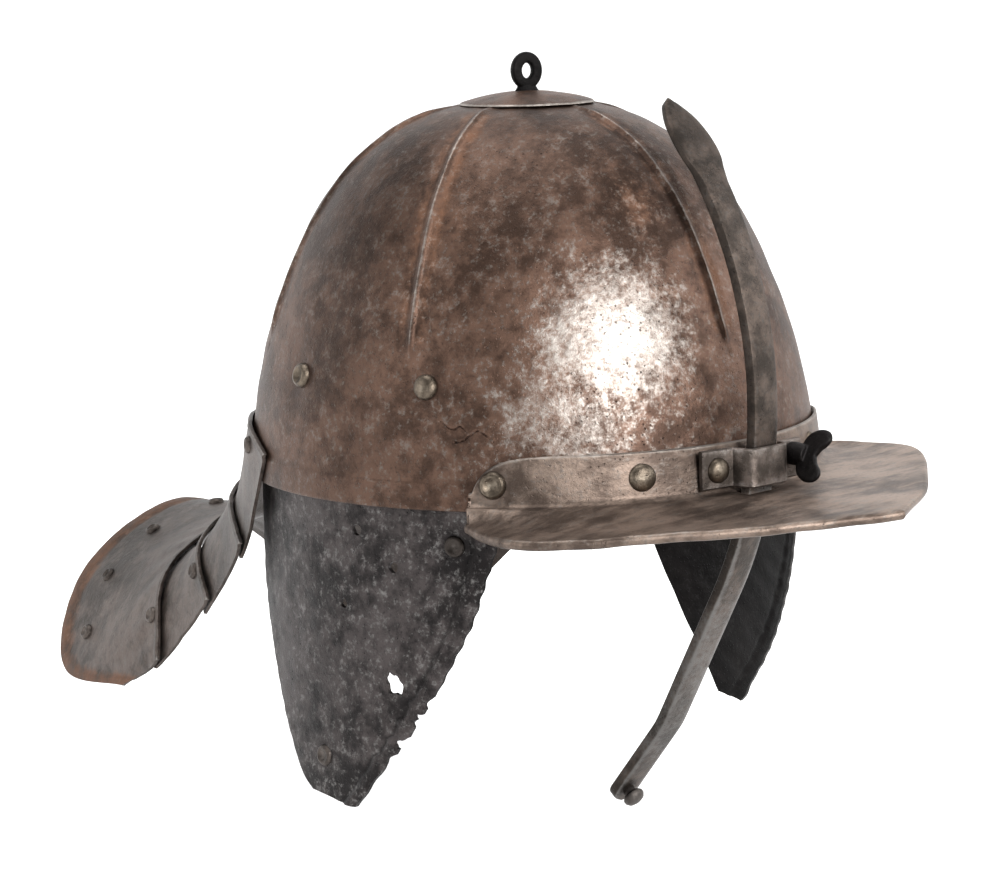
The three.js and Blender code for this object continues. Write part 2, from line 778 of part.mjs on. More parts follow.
const tailInside = new THREE.Vector3(0, 60, -200);

// A point of a lame: lames lie one outside the other, the lowest outermost
function lamePoint(lame, across, along, lift) {
  const safe = THREE.MathUtils.clamp(across, tail.endClear - 1, 1 - tail.endClear);
  const level = THREE.MathUtils.clamp(along, tail.ringClear, lastRing - tail.ringClear);
  const { normal } = seatOn(tailSurface, safe, level, tailInside);
  return tailSurface(across, along).addScaledVector(normal, (lame - 1) * tail.pitch + lift);
}

function makeLame(lame) {
  const start = lame - 1;
  const end = lame < lastRing ? lame + tail.overlap : lame;
  const loops = [];
  for (let i = 0; i <= tail.columns; i += 1) {
    const across = -1 + (2 * i) / tail.columns;
    const rows = Array.from({ length: tail.rows + 1 }, (_, k) => start + (end - start) * (k / tail.rows));
    const outer = rows.map((along) => lamePoint(lame, across, along, tail.sheet));
    const inner = rows.map((along) => lamePoint(lame, across, along, 0));
    loops.push([...outer, ...inner.reverse()]);
  }
  return piece(`tail_lame_${lame}`, loft(loops), finish.plate);
}

// Rivet heads of each group
function makeRivets() {
  const heads = [];
  const onSkull = (angle, z) => skullPoint(angle, z);
  const onBand = (angle, z) => skullPoint(angle, z, peakOuter);
  const centre = new THREE.Vector3();
  SIDES.forEach(({ name, hand }) => {
    const add = (group, size, i, seat) => heads.push(rivet(`${group}_rivet_${name}_${i + 1}`, size, seat));
    sideRivets.forEach(({ angle, z }, i) => {
      add('side', rivetSizes.side, i, seatOn(onSkull, -hand * angle * DEG, z, centre));
    });
    bandRivets.forEach(({ angle, z }, i) => {
      add('band', rivetSizes.band, i, seatOn(onBand, -hand * angle * DEG, z, centre));
    });
    cheekRivets.forEach(({ y, z }, i) => {
      const shift = hand === LEFT && i > 0 ? leftTipShift : 0;
      const face = (u, v) => cheekPoint(hand, u, v);
      add('cheek', rivetSizes.cheek, i, seatOn(face, y + shift, z, centre));
    });
    lameRivets.forEach(({ across, along, lame }, i) => {
      const face = (u, v) => lamePoint(lame, u, v, tail.sheet);
      add('lame', rivetSizes.lame, i, seatOn(face, hand * across, along, tailInside));
    });
  });
  const backFace = (u, v) => lamePoint(backRivet.lame, u, v, tail.sheet);
  const backSeat = seatOn(backFace, backRivet.across, backRivet.along, tailInside);
  heads.push(rivet('lame_rivet_back', rivetSizes.lame, backSeat));
  const [footEnd, footBend] = strapLine;
  const footShare = (strapRivet.x - footEnd.x) / (footBend.x - footEnd.x);
  const footRun = new THREE.Vector2(footBend.x - footEnd.x, footBend.y - footEnd.y).normalize();
  const footNormal = new THREE.Vector3(footRun.y, -footRun.x, 0);
  const footY = THREE.MathUtils.lerp(footEnd.y, footBend.y, footShare);
  const footPoint = new THREE.Vector3(strapRivet.x + nasal.aside, footY, strapRivet.z);
  footPoint.addScaledVector(footNormal, strap.thick);
  heads.push(rivet('strap_rivet', rivetSizes.strap, { point: footPoint, normal: footNormal }));
  return heads;
}

const helmet = new THREE.Group();
helmet.add(makeSkull(), makeFinialDisc(), makeHangingEye(), makePeak());
helmet.add(makeNasalBar(), makeNasalStud(), makeStrap(), makeWingScrew());
SIDES.forEach((side) => helmet.add(makeCheek(side), makeHanger(side)));
[1, 2, 3, 4].forEach((lame) => helmet.add(makeLame(lame)));
helmet.add(...makeRivets());

export default helmet;
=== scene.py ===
"""A lobster-tail pot helmet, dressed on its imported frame.

Front is -Y, the wearer's right is -X, +Z is up and the origin is the middle of the skull's rim.
Sizes in the tables are millimetres; the meshes are metres.
"""

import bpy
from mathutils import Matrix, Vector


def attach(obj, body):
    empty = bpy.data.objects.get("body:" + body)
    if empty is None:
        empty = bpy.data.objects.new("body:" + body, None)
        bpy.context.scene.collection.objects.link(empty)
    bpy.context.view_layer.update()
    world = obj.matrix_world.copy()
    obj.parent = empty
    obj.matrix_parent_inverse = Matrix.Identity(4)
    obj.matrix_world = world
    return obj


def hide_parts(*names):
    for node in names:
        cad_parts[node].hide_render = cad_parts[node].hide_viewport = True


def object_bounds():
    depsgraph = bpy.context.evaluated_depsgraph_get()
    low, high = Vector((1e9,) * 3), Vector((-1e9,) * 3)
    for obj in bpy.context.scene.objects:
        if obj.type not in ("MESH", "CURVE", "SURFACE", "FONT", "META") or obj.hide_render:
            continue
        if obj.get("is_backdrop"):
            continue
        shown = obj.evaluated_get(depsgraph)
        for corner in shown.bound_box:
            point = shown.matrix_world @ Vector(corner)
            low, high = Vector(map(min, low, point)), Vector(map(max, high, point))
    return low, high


bl_info = {
    "name": "Lobster-tail pot helmet",
    "version": (1, 0, 0),
    "blender": (4, 5, 0),
    "location": "View3D > Sidebar > Helmet",
    "description": "Builds a ribbed steel helmet with a peak, nasal bar, cheek plates and a laminated tail",
    "category": "Object",
}

import math

import bmesh
import bpy
import numpy as np
from mathutils import Matrix, Vector

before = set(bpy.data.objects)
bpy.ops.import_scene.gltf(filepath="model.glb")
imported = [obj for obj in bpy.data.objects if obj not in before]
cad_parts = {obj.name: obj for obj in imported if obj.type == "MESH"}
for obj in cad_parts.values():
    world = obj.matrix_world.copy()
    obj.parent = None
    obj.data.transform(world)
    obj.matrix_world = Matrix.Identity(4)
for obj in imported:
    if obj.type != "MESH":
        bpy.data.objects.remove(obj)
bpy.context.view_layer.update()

MM = 0.001
HELMET, NASAL, WING = "helmet", "nasal", "wing"
RIGHT, LEFT = -1, 1
SIDES = (("right", RIGHT), ("left", LEFT))

# The skull: girth shrinks with height by two powers
SKULL = {"crown_power": 1.75, "wall_power": 2.7, "waist": -0.036, "border_height": 9.5, "border_proud": 0.5}
RIB_ANGLES = (0, 71, 123, 180, 237, 289)
RIB = {
    "foot": 51, "fade": 9, "crest": 1.25, "groove": 0.2, "crest_width": 1.25, "groove_at": 3.8,
    "groove_width": 1.6,
}
CRACK = ((53.5, 26), (56, 28.5), (57.5, 27.2), (59.5, 30), (61, 28.8), (63.5, 31.5))
CRACK_FORK = ((57.5, 27.2), (58.6, 25.2), (60.5, 24.4))
DENTS = (
    {"angle": 36, "z": 78, "radius": 16, "deep": 0.8},
    {"angle": 92, "z": 70, "radius": 13, "deep": 0.9},
    {"angle": 101, "z": 43, "radius": 9, "deep": 0.8},
    {"angle": 67, "z": 43, "radius": 10, "deep": 0.7},
    {"angle": 140, "z": 82, "radius": 15, "deep": 0.8},
    {"angle": 215, "z": 60, "radius": 17, "deep": 0.9},
    {"angle": 310, "z": 74, "radius": 14, "deep": 0.8},
)

# Rust stains on the bowl, and zones of painted shade that darken it
STAINS_AND_SHADE = (
    {"mark": "rust", "angle": 14, "z": 104, "radius": 24, "share": 0.45},
    {"mark": "rust", "angle": 62, "z": 98, "radius": 14, "share": 0.36},
    {"mark": "rust", "angle": 84, "z": 86, "radius": 17, "share": 0.34},
    {"mark": "rust", "angle": 96, "z": 30, "radius": 18, "share": 0.3},
    {"mark": "rust", "angle": 190, "z": 90, "radius": 26, "share": 0.36},
    {"mark": "rust", "angle": 280, "z": 70, "radius": 28, "share": 0.36},
    {"mark": "painted_shade", "angle": 94, "z": 94, "radius": 28, "share": 0.6},
    {"mark": "painted_shade", "angle": 92, "z": 52, "radius": 30, "share": 0.5},
    {"mark": "painted_shade", "angle": 46, "z": 118, "radius": 22, "share": 0.4},
    {"mark": "painted_shade", "angle": 78, "z": 20, "radius": 30, "share": 0.42},
    {"mark": "painted_shade", "angle": 160, "z": 50, "radius": 34, "share": 0.45},
    {"mark": "painted_shade", "angle": 250, "z": 40, "radius": 34, "share": 0.45},
)

# The crown's disc and eye
DISC = {"radius": 25.5, "rim": 0.9, "dome": 4.1, "forward": 3.2, "clear": 0.5}
EYE = {
    "half_width": 6.3, "half_height": 7.4, "hole_width": 2.1, "hole_height": 2.5, "thick": 3.4,
    "centre": 150,
}
EYE_TURN = math.radians(-18)

# The peak: half of its outline in plan, from the tip back to the end of the band
PEAK = {
    "sheet": 1.3, "band": 20, "end": 57.5, "corner": 14, "least": 7, "fold": 3, "roll": 1.8, "level": 2.2,
    "tip_drop": 0.2, "side_drop": 2.6, "skew": 0.03, "slot_half": 8.4, "slot_front": 121.8,
}
PEAK_OUTLINE = ((0, 185.5), (39, 163), (73, 135.5), (95.5, 114.5), (103.5, 98), (100.5, 80), (93.5, 64))

# The nasal bar: an arc, its tangent and a bent end
BAR = {
    "centre_y": 23.4, "centre_z": 36, "radius": 147.4, "half": 6.2, "thick": 4.2, "leaf_thick": 2.6,
    "arc_end": 210, "straight": 62, "knee": 10, "end": 46, "round": 6,
    "aside": -1.2, "lean": -0.016, "lean_height": 12,
}
LEAF = (
    (134.6, 0.4), (135.2, 2.6), (136, 4.2), (138, 7), (140, 8.5), (142.5, 9.3), (145, 9), (147, 7.4),
    (149, 6.3),
)
STUD_OUTLINE = (
    (0, -0.4), (2.4, -0.4), (2.4, 1.6), (3.4, 2), (4.2, 2.9), (4.2, 3.9), (3.4, 5.1), (1.8, 5.8),
    (0, 6),
)
STUD_BACK = 6

# The strap's inner face in plan, and the wing screw
STRAP = {"thick": 1.8, "bottom": 4.6, "height": 14}
STRAP_LINE = ((-24, -112.8), (-9.5, -115.4), (-8.1, -123.5), (8.1, -123.5), (9.6, -118.8), (21.5, -118.2))
SCREW = {"x": 14.4, "z": 13.6, "turn": math.radians(60)}
SCREW_OUTLINE = (
    (0, -114.7), (2.4, -114.7), (2.4, -120.9), (4.2, -120.9), (4.3, -123), (3.4, -128.5), (0, -128.5),
)
WING_OUTLINE = (
    (0, -1.5), (3.4, 0), (6.4, 1), (8.6, 2.8), (10.2, 6.5), (9.7, 10.4), (7.4, 12.2), (5, 11.4),
    (2.6, 9), (0, 7.6),
)
WING_BACK = -125
WING_HALF_THICK = 1.2

# The cheeks: the front edge is the same on both sides, the left plate is narrower behind
CHEEK = {"half_length": 109.4, "half_width": 100.5, "thick": 1.5, "flare": 4, "flare_depth": 110}
CHEEK_Z = (6, -11, -27, -42, -57, -70, -83, -95, -105.5, -110.6)
CHEEK_FRONT = (-64, -65.5, -61.5, -57, -50.2, -43.4, -35.2, -26, -16.6, -11.6)
CHEEK_BACK = {
    RIGHT: (62, 68, 68, 63, 53.6, 45.6, 38, 29.4, 21, 13.5),
    LEFT: (47, 46, 40, 33, 26.8, 21, 15, 8.4, 3.3, 0.9),
}
CHEEK_HOLES = ((-12.4, -10.1, 2.1), (-28.9, -22.4, 2), (-5.2, -37.9, 1.8))
RUST_HOLES = (
    (-29.1, -65.8, 3.3), (-26.8, -63.2, 2.1), (-39.6, -76.8, 1.8), (-31.6, -87, 1.7),
    (-43.8, -70.6, 1.5),
)
HANGER = {"thick": 2, "from": 68, "to": 106, "rows": ((52, 0), (13, 0), (8, 1), (-6, 1))}

# The tail: five rings, each with four stations from the back to the end of a side
TAIL = {"sheet": 1.3, "pitch": 2.1, "seat_lift": 1.3, "overlap": 0.22, "ring_top": 19}
SKULL_RING = ((180, 0), (152, 0), (127, -1), (111, 7))
TAIL_RINGS = (
    ((0, 118, -6), (41.5, 111, -9), (70, 94.3, -15), (90.5, 63, -26)),
    ((0, 132, -25), (41, 128, -30), (68, 116, -38.5), (81.6, 93.8, -54)),
    ((0, 152, -41), (40, 150, -46), (66, 142, -58.5), (78, 130.7, -85)),
    ((0, 228, -48), (43, 231, -69.5), (66, 215, -103), (77, 157, -100)),
)
TAIL_INSIDE = np.array((0, 60, -200))

# Rivets: radius and height by kind, and their places
RIVET = {"side": (4.6, 2.6), "band": (5, 2.4), "strap": (4.6, 2.6), "cheek": (4, 1.6), "lame": (3.4, 1.8)}
DOME = ((0, 1), (0.3, 0.97), (0.6, 0.86), (0.82, 0.63), (0.95, 0.34), (1, 0.06), (1, -0.25), (0, -0.25))
DISH = (
    (0, 0.3), (0.3, 0.36), (0.52, 0.66), (0.66, 0.86), (0.8, 0.8), (0.94, 0.42), (1, 0.05), (1, -0.25),
    (0, -0.25),
)
SIDE_RIVETS = ((67, 43.3, DOME), (100.8, 43.3, DISH))
BAND_RIVETS = ((25, 11, DOME), (53, 10, DISH))
CHEEK_RIVETS = ((-52.4, -13.2), (6.2, -96.5))
LEFT_TIP_SHIFT = -13
LAME_RIVETS = (
    (0.78, 0.16, 1), (0.42, 1.88, 2), (0.78, 2.15, 3), (0.78, 3.1, 4), (0.6, 3.77, 4), (0.4, 3.73, 4),
    (0.2, 3.71, 4),
)
BACK_RIVET = (0, 3.66, 4)
STRAP_RIVET = (-17.2, 11.2)
RIVET_STEPS = 36

# The camera, fitted to the photograph
CAMERA = {
    "turn": 42.724, "lift": 9.06, "roll": -1.743, "away": 1188.2, "aside": -11.914, "above": 10.412,
    "lens": 110.93,
}

LENS_SENSOR = 36

# Marks on the peak's section: points, and how worn, rusty and darkened by painted shade, from the band's top
# round and back
PEAK_MARKS = (
    (1, 0.5, 0, 0.2), (1, 0.25, 0, 0.5), (1, 0.08, 0.1, 0.55), (3, 0.1, 0.3, 0.55), (4, 0.1, 0.3, 0.3),
    (13, 0.12, 0.22, 0), (1, 0.2, 0, 0), (2, 0.4, 0, 0), (1, 0.25, 0, 0.3), (1, 0.1, 0, 0.5), (11, 0, 0, 0.7),
    (13, 0, 0.2, 0.6), (3, 0, 0.2, 0.6), (1, 0.2, 0.2, 0.6), (1, 0.5, 0.2, 0.6),
)

# Marks round the bar's section, with painted shade on its sides and back, and round the raised border of the
# skull and the strap
BAR_WORN = (0.1, 0.15, 0.5, 0.4, 0.14, 0.12, 0.14, 0.4, 0.5, 0.15, 0.1, 0.1, 0.1, 0.1)
BAR_PAINTED_SHADE = (0.5, 0.45, 0.1, 0, 0, 0, 0, 0, 0.1, 0.45, 0.5, 0.6, 0.6, 0.6)
BORDER_WORN = (0, 0.1, 0.3, 0.34, 0.22, 0.16, 0.25, 0.34, 0.3, 0.1)
STRAP_WORN = (0, 0, 0, 0.1, 0.3, 0.45, 0.1, 0.45, 0.3, 0.1)
DISC_WORN = (0.1, 0.2, 0.45, 0.6, 0.6, 0.3)

# The steel's unevenness, from broad clouds to fine grain
GRAINS = {
    "cloud": {"scale": 22, "detail": 8, "rough": 0.62},
    "mottle": {"scale": 120, "detail": 8, "rough": 0.7},
    "fleck": {"scale": 420, "detail": 6, "rough": 0.75},
    "grain": {"scale": 900, "detail": 4, "rough": 0.6},
}
PIT_SCALE = 520
RELIEF_DEPTH = 0.0006

# Finishes of old steel, by material; what is left out comes from the plain one or the colours
PLAIN_FINISH = {"rusty": 0.0, "gloss": 0.36, "speckle": 0.0, "pitted": 0.5, "streak": (1, 1, 1)}
FINISHES = {
    "skull_patina": {"rusty": 0.02, "speckle": 0.3},
    "disc_patina": {"rusty": 0.16},
    "eye_iron": {"bare": (0.06, 0.057, 0.055), "rusty": -0.12, "gloss": 0.5, "speckle": 0.1},
    "peak_patina": {
        "base": (0.31, 0.235, 0.19), "deep": (0.085, 0.062, 0.05), "speckle": 0.35, "pitted": 0.4,
        "streak": (0.35, 1, 1),
    },
    "nasal_steel": {
        "base": (0.09, 0.069, 0.057), "deep": (0.03, 0.024, 0.02), "bare": (0.118, 0.112, 0.107),
        "rusty": -0.02, "gloss": 0.38, "speckle": 0.3, "pitted": 0.8,
    },
    "stud_iron": {
        "base": (0.08, 0.07, 0.064), "deep": (0.03, 0.026, 0.024), "bare": (0.25, 0.235, 0.22),
        "rusty": -0.05, "gloss": 0.4, "speckle": 0.15,
    },
    "strap_steel": {
        "base": (0.17, 0.138, 0.12), "deep": (0.06, 0.05, 0.043), "bare": (0.34, 0.31, 0.29), "rusty": 0.02,
        "speckle": 0.25,
    },
    "screw_iron": {"bare": (0.12, 0.115, 0.11), "rusty": -0.12, "gloss": 0.45, "speckle": 0.1},
    "cheek_iron": {
        "base": (0.055, 0.047, 0.046), "deep": (0.012, 0.0105, 0.0105), "bare": (0.19, 0.183, 0.177),
        "rusty": -0.14, "gloss": 0.42, "speckle": 0.6, "pitted": 0.8,
    },
    "tail_patina": {
        "base": (0.098, 0.077, 0.067), "deep": (0.03, 0.023, 0.019), "bare": (0.24, 0.225, 0.21),
        "gloss": 0.35, "speckle": 0.25,
    },
    "rivet_steel": {
        "base": (0.16, 0.13, 0.1), "deep": (0.055, 0.043, 0.032), "bare": (0.34, 0.3, 0.24), "rusty": -0.05,
        "gloss": 0.27,
    },
    "rivet_dull": {
        "base": (0.09, 0.075, 0.066), "deep": (0.03, 0.025, 0.022), "bare": (0.24, 0.22, 0.2), "gloss": 0.34,
    },
}

# The stage in metres: soft lights, and the floor that bends up into a backdrop
LIGHTS = (
    {"name": "key", "place": (-0.32, -1.53, 0.56), "size": 0.6, "power": 36},
    {"name": "top", "place": (-0.1, 0.1, 1.7), "size": 1.2, "power": 20},
    {"name": "left_fill", "place": (-1.5, 0.5, 0.5), "size": 0.7, "power": 8},
    {"name": "back_sheen", "place": (-0.55, 1.6, 0.35), "size": 0.9, "power": 3.5},
    {"name": "right_rim", "place": (1.1, -0.9, 0.6), "size": 0.6, "power": 9},
)
LIGHT_AIM = (0, 0, 0.03)
WORLD_STRENGTH = 0.5
FLOOR = {"front": -7, "flat": 3.2, "bend": 1.4, "top": 6, "half": 8, "glow": 0.5}


class HelmetSizes(bpy.types.PropertyGroup):
    """Main sizes of the helmet"""

    half_length: bpy.props.FloatProperty(
        name="Half length", description="Half of the rim's length", default=0.113, unit="LENGTH")
    half_width: bpy.props.FloatProperty(
        name="Half width", description="Half of the rim's width", default=0.1039, unit="LENGTH")
    height: bpy.props.FloatProperty(
        name="Height", description="Height of the skull above its rim", default=0.139, unit="LENGTH")
    wall: bpy.props.FloatProperty(
        name="Wall", description="Thickness of the skull's sheet", default=0.0016, unit="LENGTH")
    floor_drop: bpy.props.FloatProperty(
        name="Floor drop", description="Gap between the lowest point and the floor", default=0.02,
        unit="LENGTH")


class HelmetColours(bpy.types.PropertyGroup):
    """Main colours of the helmet"""

    patina: bpy.props.FloatVectorProperty(
        name="Patina", description="Brown patina of the bowl", default=(0.115, 0.068, 0.049), subtype="COLOR")
    rust: bpy.props.FloatVectorProperty(
        name="Rust", description="Orange rust beside the ribs", default=(0.19, 0.075, 0.028), subtype="COLOR")
    steel: bpy.props.FloatVectorProperty(
        name="Steel", description="Worn bare steel", default=(0.36, 0.33, 0.3), subtype="COLOR")
    iron: bpy.props.FloatVectorProperty(
        name="Iron", description="Blackened iron", default=(0.026, 0.023, 0.023), subtype="COLOR")
    leather: bpy.props.FloatVectorProperty(
        name="Leather", description="Dry leather", default=(0.09, 0.05, 0.026), subtype="COLOR")
    floor: bpy.props.FloatVectorProperty(
        name="Floor", description="Pale floor", default=(0.9, 0.9, 0.9), subtype="COLOR")


def sizes():
    return bpy.context.scene.helmet_sizes


def colours():
    return bpy.context.scene.helmet_colours


# Shapes in numbers

def smoothstep(value, low, high):
    share = np.clip((value - low) / (high - low), 0, 1)
    return share * share * (3 - 2 * share)


def ripple(points, length, seed):
    """Gentle unevenness, about -1 to 1, in waves of a length, over points in millimetres"""
    draw = np.random.default_rng(seed)
    waves = draw.normal(size=(7, 3)) * 2 * math.pi / length / math.sqrt(3)
    phases = draw.uniform(0, 2 * math.pi, 7)
    return np.sin(np.asarray(points) @ waves.T + phases).mean(axis=-1) * 1.7


def curve(points, places, clamp_ends=False):
    """Places from 0 to 1 along a smooth line through points, each of which may be an array of points"""
    points = np.asarray(points, float)
    first = points[0] if clamp_ends else 2 * points[0] - points[1]
    last = points[-1] if clamp_ends else 2 * points[-1] - points[-2]
    padded = np.concatenate([first[None], points, last[None]])
    spot = np.clip(np.atleast_1d(places), 0, 1) * (len(points) - 1)
    start = np.minimum(spot.astype(int), len(points) - 2)
    t = (spot - start).reshape((-1,) + (1,) * (points.ndim - 1))
    a, b, c, d = (padded[start + k] for k in range(4))
    slope_b, slope_c = (c - a) / 2, (d - b) / 2
    bend = 3 * (c - b) - 2 * slope_b - slope_c
    twist = 2 * (b - c) + slope_b + slope_c
    return b + t * slope_b + t ** 2 * bend + t ** 3 * twist


def girth(z, lift):
    level = np.clip(z / (sizes().height / MM + lift), 0, 1)
    crown = np.power(1 - np.power(level, SKULL["crown_power"]), 1 / SKULL["wall_power"])
    return crown * (1 + SKULL["waist"] * level * (1 - level))


def skull_point(angle, z, lift=0):
    """The skull's outside; angle 0 is the front and a quarter turn the wearer's right"""
    angle, z, lift = np.broadcast_arrays(*(np.asarray(value, float) for value in (angle, z, lift)))
    share = girth(z, lift)
    x = -(sizes().half_width / MM + lift) * share * np.sin(angle)
    y = -(sizes().half_length / MM + lift) * share * np.cos(angle)
    return np.stack([x, y, z], axis=-1)


def crown_height(x, y):
    """Height of the skull over a point in plan, by halving"""
    share = np.hypot(x / (sizes().half_width / MM), y / (sizes().half_length / MM))
    low, high = np.zeros_like(share), np.full_like(share, sizes().height / MM)
    for _ in range(40):
        middle = (low + high) / 2
        above = girth(middle, 0) > share
        low, high = np.where(above, middle, low), np.where(above, high, middle)
    return low


def seat(surface, u, v):
    """Place and outward direction of a surface at two coordinates"""
    step = 1e-3
    across = surface(u + step, v) - surface(u - step, v)
    along = surface(u, v + step) - surface(u, v - step)
    normal = np.cross(across, along)
    normal /= np.linalg.norm(normal, axis=-1, keepdims=True)
    point = surface(u, v)
    facing = np.sum(normal * point, axis=-1, keepdims=True)
    return point, np.where(facing < 0, -normal, normal)


# Meshes and pieces

def mesh_object(name, vertices, faces, marks=None, sharp=40):
    """A closed mesh in metres from millimetres, with marks such as wear kept on its points"""
    mesh = bpy.data.meshes.new(name)
    mesh.from_pydata((np.asarray(vertices).reshape(-1, 3) * MM).tolist(), [], faces)
    for key, values in (marks or {}).items():
        layer = mesh.attributes.new(key, "FLOAT", "POINT")
        layer.data.foreach_set("value", np.asarray(values, np.float32).reshape(-1))
    shell = bmesh.new()
    shell.from_mesh(mesh)
    bmesh.ops.remove_doubles(shell, verts=shell.verts, dist=1e-6)
    bmesh.ops.dissolve_degenerate(shell, edges=shell.edges, dist=1e-7)
    bmesh.ops.recalc_face_normals(shell, faces=shell.faces)
    shell.to_mesh(mesh)
    shell.free()
    smooth(mesh, sharp)
    thing = bpy.data.objects.new(name, mesh)
    bpy.context.scene.collection.objects.link(thing)
    return thing


def smooth(mesh, sharp):
    mesh.shade_smooth()
    mesh.set_sharp_from_angle(angle=math.radians(sharp))


def loft(name, loops, full_turn=False, marks=None, sharp=40):
    """Joins loops of equal length into one closed skin"""
    loops = np.asarray(loops, float)
    count, size = loops.shape[:2]
    index = np.arange(count * size).reshape(count, size)
    here = index if full_turn else index[:-1]
    there = np.roll(index, -1, axis=0) if full_turn else index[1:]
    quads = np.stack([here, np.roll(here, -1, 1), np.roll(there, -1, 1), there], axis=-1).reshape(-1, 4)
    faces = quads.tolist()
    if not full_turn:
        faces += [index[0].tolist(), index[-1].tolist()]
    return mesh_object(name, loops, faces, marks, sharp)


def lathe(name, outline, steps=40, marks=None, sharp=40):
    """Turns an outline of radius and height about Z"""
    outline = np.asarray(outline, float)
    turn = np.linspace(0, 2 * math.pi, steps, endpoint=False)
    x = np.cos(turn)[:, None] * outline[None, :, 0]
    y = np.sin(turn)[:, None] * outline[None, :, 0]
    z = np.broadcast_to(outline[None, :, 1], x.shape)
    return loft(name, np.stack([x, y, z], axis=-1), True, marks, sharp)


def baked(thing, sharp=40):
    """Applies a thing's modifiers to its mesh"""
    graph = bpy.context.evaluated_depsgraph_get()
    mesh = bpy.data.meshes.new_from_object(thing.evaluated_get(graph))
    thing.modifiers.clear()
    thing.data = mesh
    smooth(mesh, sharp)
    return thing


def cut(thing, tool, sharp=40):
    """Cuts a tool out of a thing and drops the tool"""
    step = thing.modifiers.new("cut", "BOOLEAN")
    step.operation = "DIFFERENCE"
    step.solver = "EXACT"
    step.use_self = True
    step.object = tool
    baked(thing, sharp)
    bpy.data.objects.remove(tool)
    return thing


def forged(name, parts, voxel, rounds):
    """Joins parts into one rounded solid"""
    shell = bmesh.new()
    for part in parts:
        shell.from_mesh(part.data)
        bpy.data.objects.remove(part)
    mesh = bpy.data.meshes.new(name)
    shell.to_mesh(mesh)
    shell.free()
    thing = bpy.data.objects.new(name, mesh)
    bpy.context.scene.collection.objects.link(thing)
    joined = thing.modifiers.new("join", "REMESH")
    joined.mode = "VOXEL"
    joined.voxel_size = voxel * MM
    eased = thing.modifiers.new("ease", "SMOOTH")
    eased.factor = 0.5
    eased.iterations = rounds
    return baked(thing, 60)


def dress(thing, material, body, nodes):
    """Gives a piece its material and the body that it belongs to, and hides the nodes that it stands for"""
    thing.data.materials.clear()
    thing.data.materials.append(material)
    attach(thing, body)
    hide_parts(*nodes)
    return thing


# Materials

class Tap:
    """A socket's output that can be used in sums"""

    def __init__(self, shade, socket):
        self.shade = shade
        self.socket = socket

    def combine(self, operation, first, second):
        return self.shade.add("ShaderNodeMath", {"operation": operation}, {0: first, 1: second})

    def __add__(self, other):
        return self.combine("ADD", self, other)

    def __radd__(self, other):
        return self.combine("ADD", other, self)

    def __sub__(self, other):
        return self.combine("SUBTRACT", self, other)

    def __rsub__(self, other):
        return self.combine("SUBTRACT", other, self)

    def __mul__(self, other):
        return self.combine("MULTIPLY", self, other)

    def __rmul__(self, other):
        return self.combine("MULTIPLY", other, self)


class Shade:
    """A material's nodes, by name of finish"""

    def __init__(self, name):
        self.material = bpy.data.materials.new(name)
        self.material.use_nodes = True
        self.tree = self.material.node_tree
        self.surface = self.tree.nodes["Principled BSDF"]
        self.place = self.add("ShaderNodeTexCoord", {}, {}, "Object")

    def add(self, kind, settings, inputs, output=0):
        node = self.tree.nodes.new(kind)
        for key, value in settings.items():
            setattr(node, key, value)
        self.feed(node, inputs)
        return Tap(self, node.outputs[output])

    def feed(self, node, inputs):
        for key, value in inputs.items():
            if isinstance(value, Tap):
                self.tree.links.new(value.socket, node.inputs[key])
            else:
                node.inputs[key].default_value = value

    def noise(self, scale, detail, rough, stretch=(1, 1, 1)):
        place = self.add("ShaderNodeMapping", {}, {"Vector": self.place, "Scale": stretch})
        settings = {"Vector": place, "Scale": scale, "Detail": detail, "Roughness": rough}
        return self.add("ShaderNodeTexNoise", {"noise_dimensions": "3D"}, settings)

    def pits(self, scale):
        return self.add("ShaderNodeTexVoronoi", {"feature": "F1"}, {"Vector": self.place, "Scale": scale})

    def ease(self, value, low, high):
        ends = {"Value": value, "From Min": low, "From Max": high}
        return self.add("ShaderNodeMapRange", {"interpolation_type": "SMOOTHSTEP"}, ends)

    def mark(self, key):
        return self.add("ShaderNodeAttribute", {"attribute_name": key}, {}, "Fac")

    def mix(self, share, first, second):
        paint = [value if isinstance(value, Tap) else (*value, 1) for value in (first, second)]
        return self.add("ShaderNodeMix", {"data_type": "RGBA"}, {0: share, 6: paint[0], 7: paint[1]}, 2)

    def near(self, centre, reach):
        ends = {0: self.place, 1: centre}
        away = self.add("ShaderNodeVectorMath", {"operation": "DISTANCE"}, ends, "Value")
        return self.ease(away, reach, 0.0)

    def finish(self, colour, rough, metal, height, depth):
        bump = self.add("ShaderNodeBump", {}, {"Strength": 1.0, "Distance": depth, "Height": height})
        looks = {"Base Color": colour, "Roughness": rough, "Metallic": metal, "Normal": bump}
        self.feed(self.surface, looks)
        return self.material


def darker(colour, share):
    return tuple(value * share for value in colour)


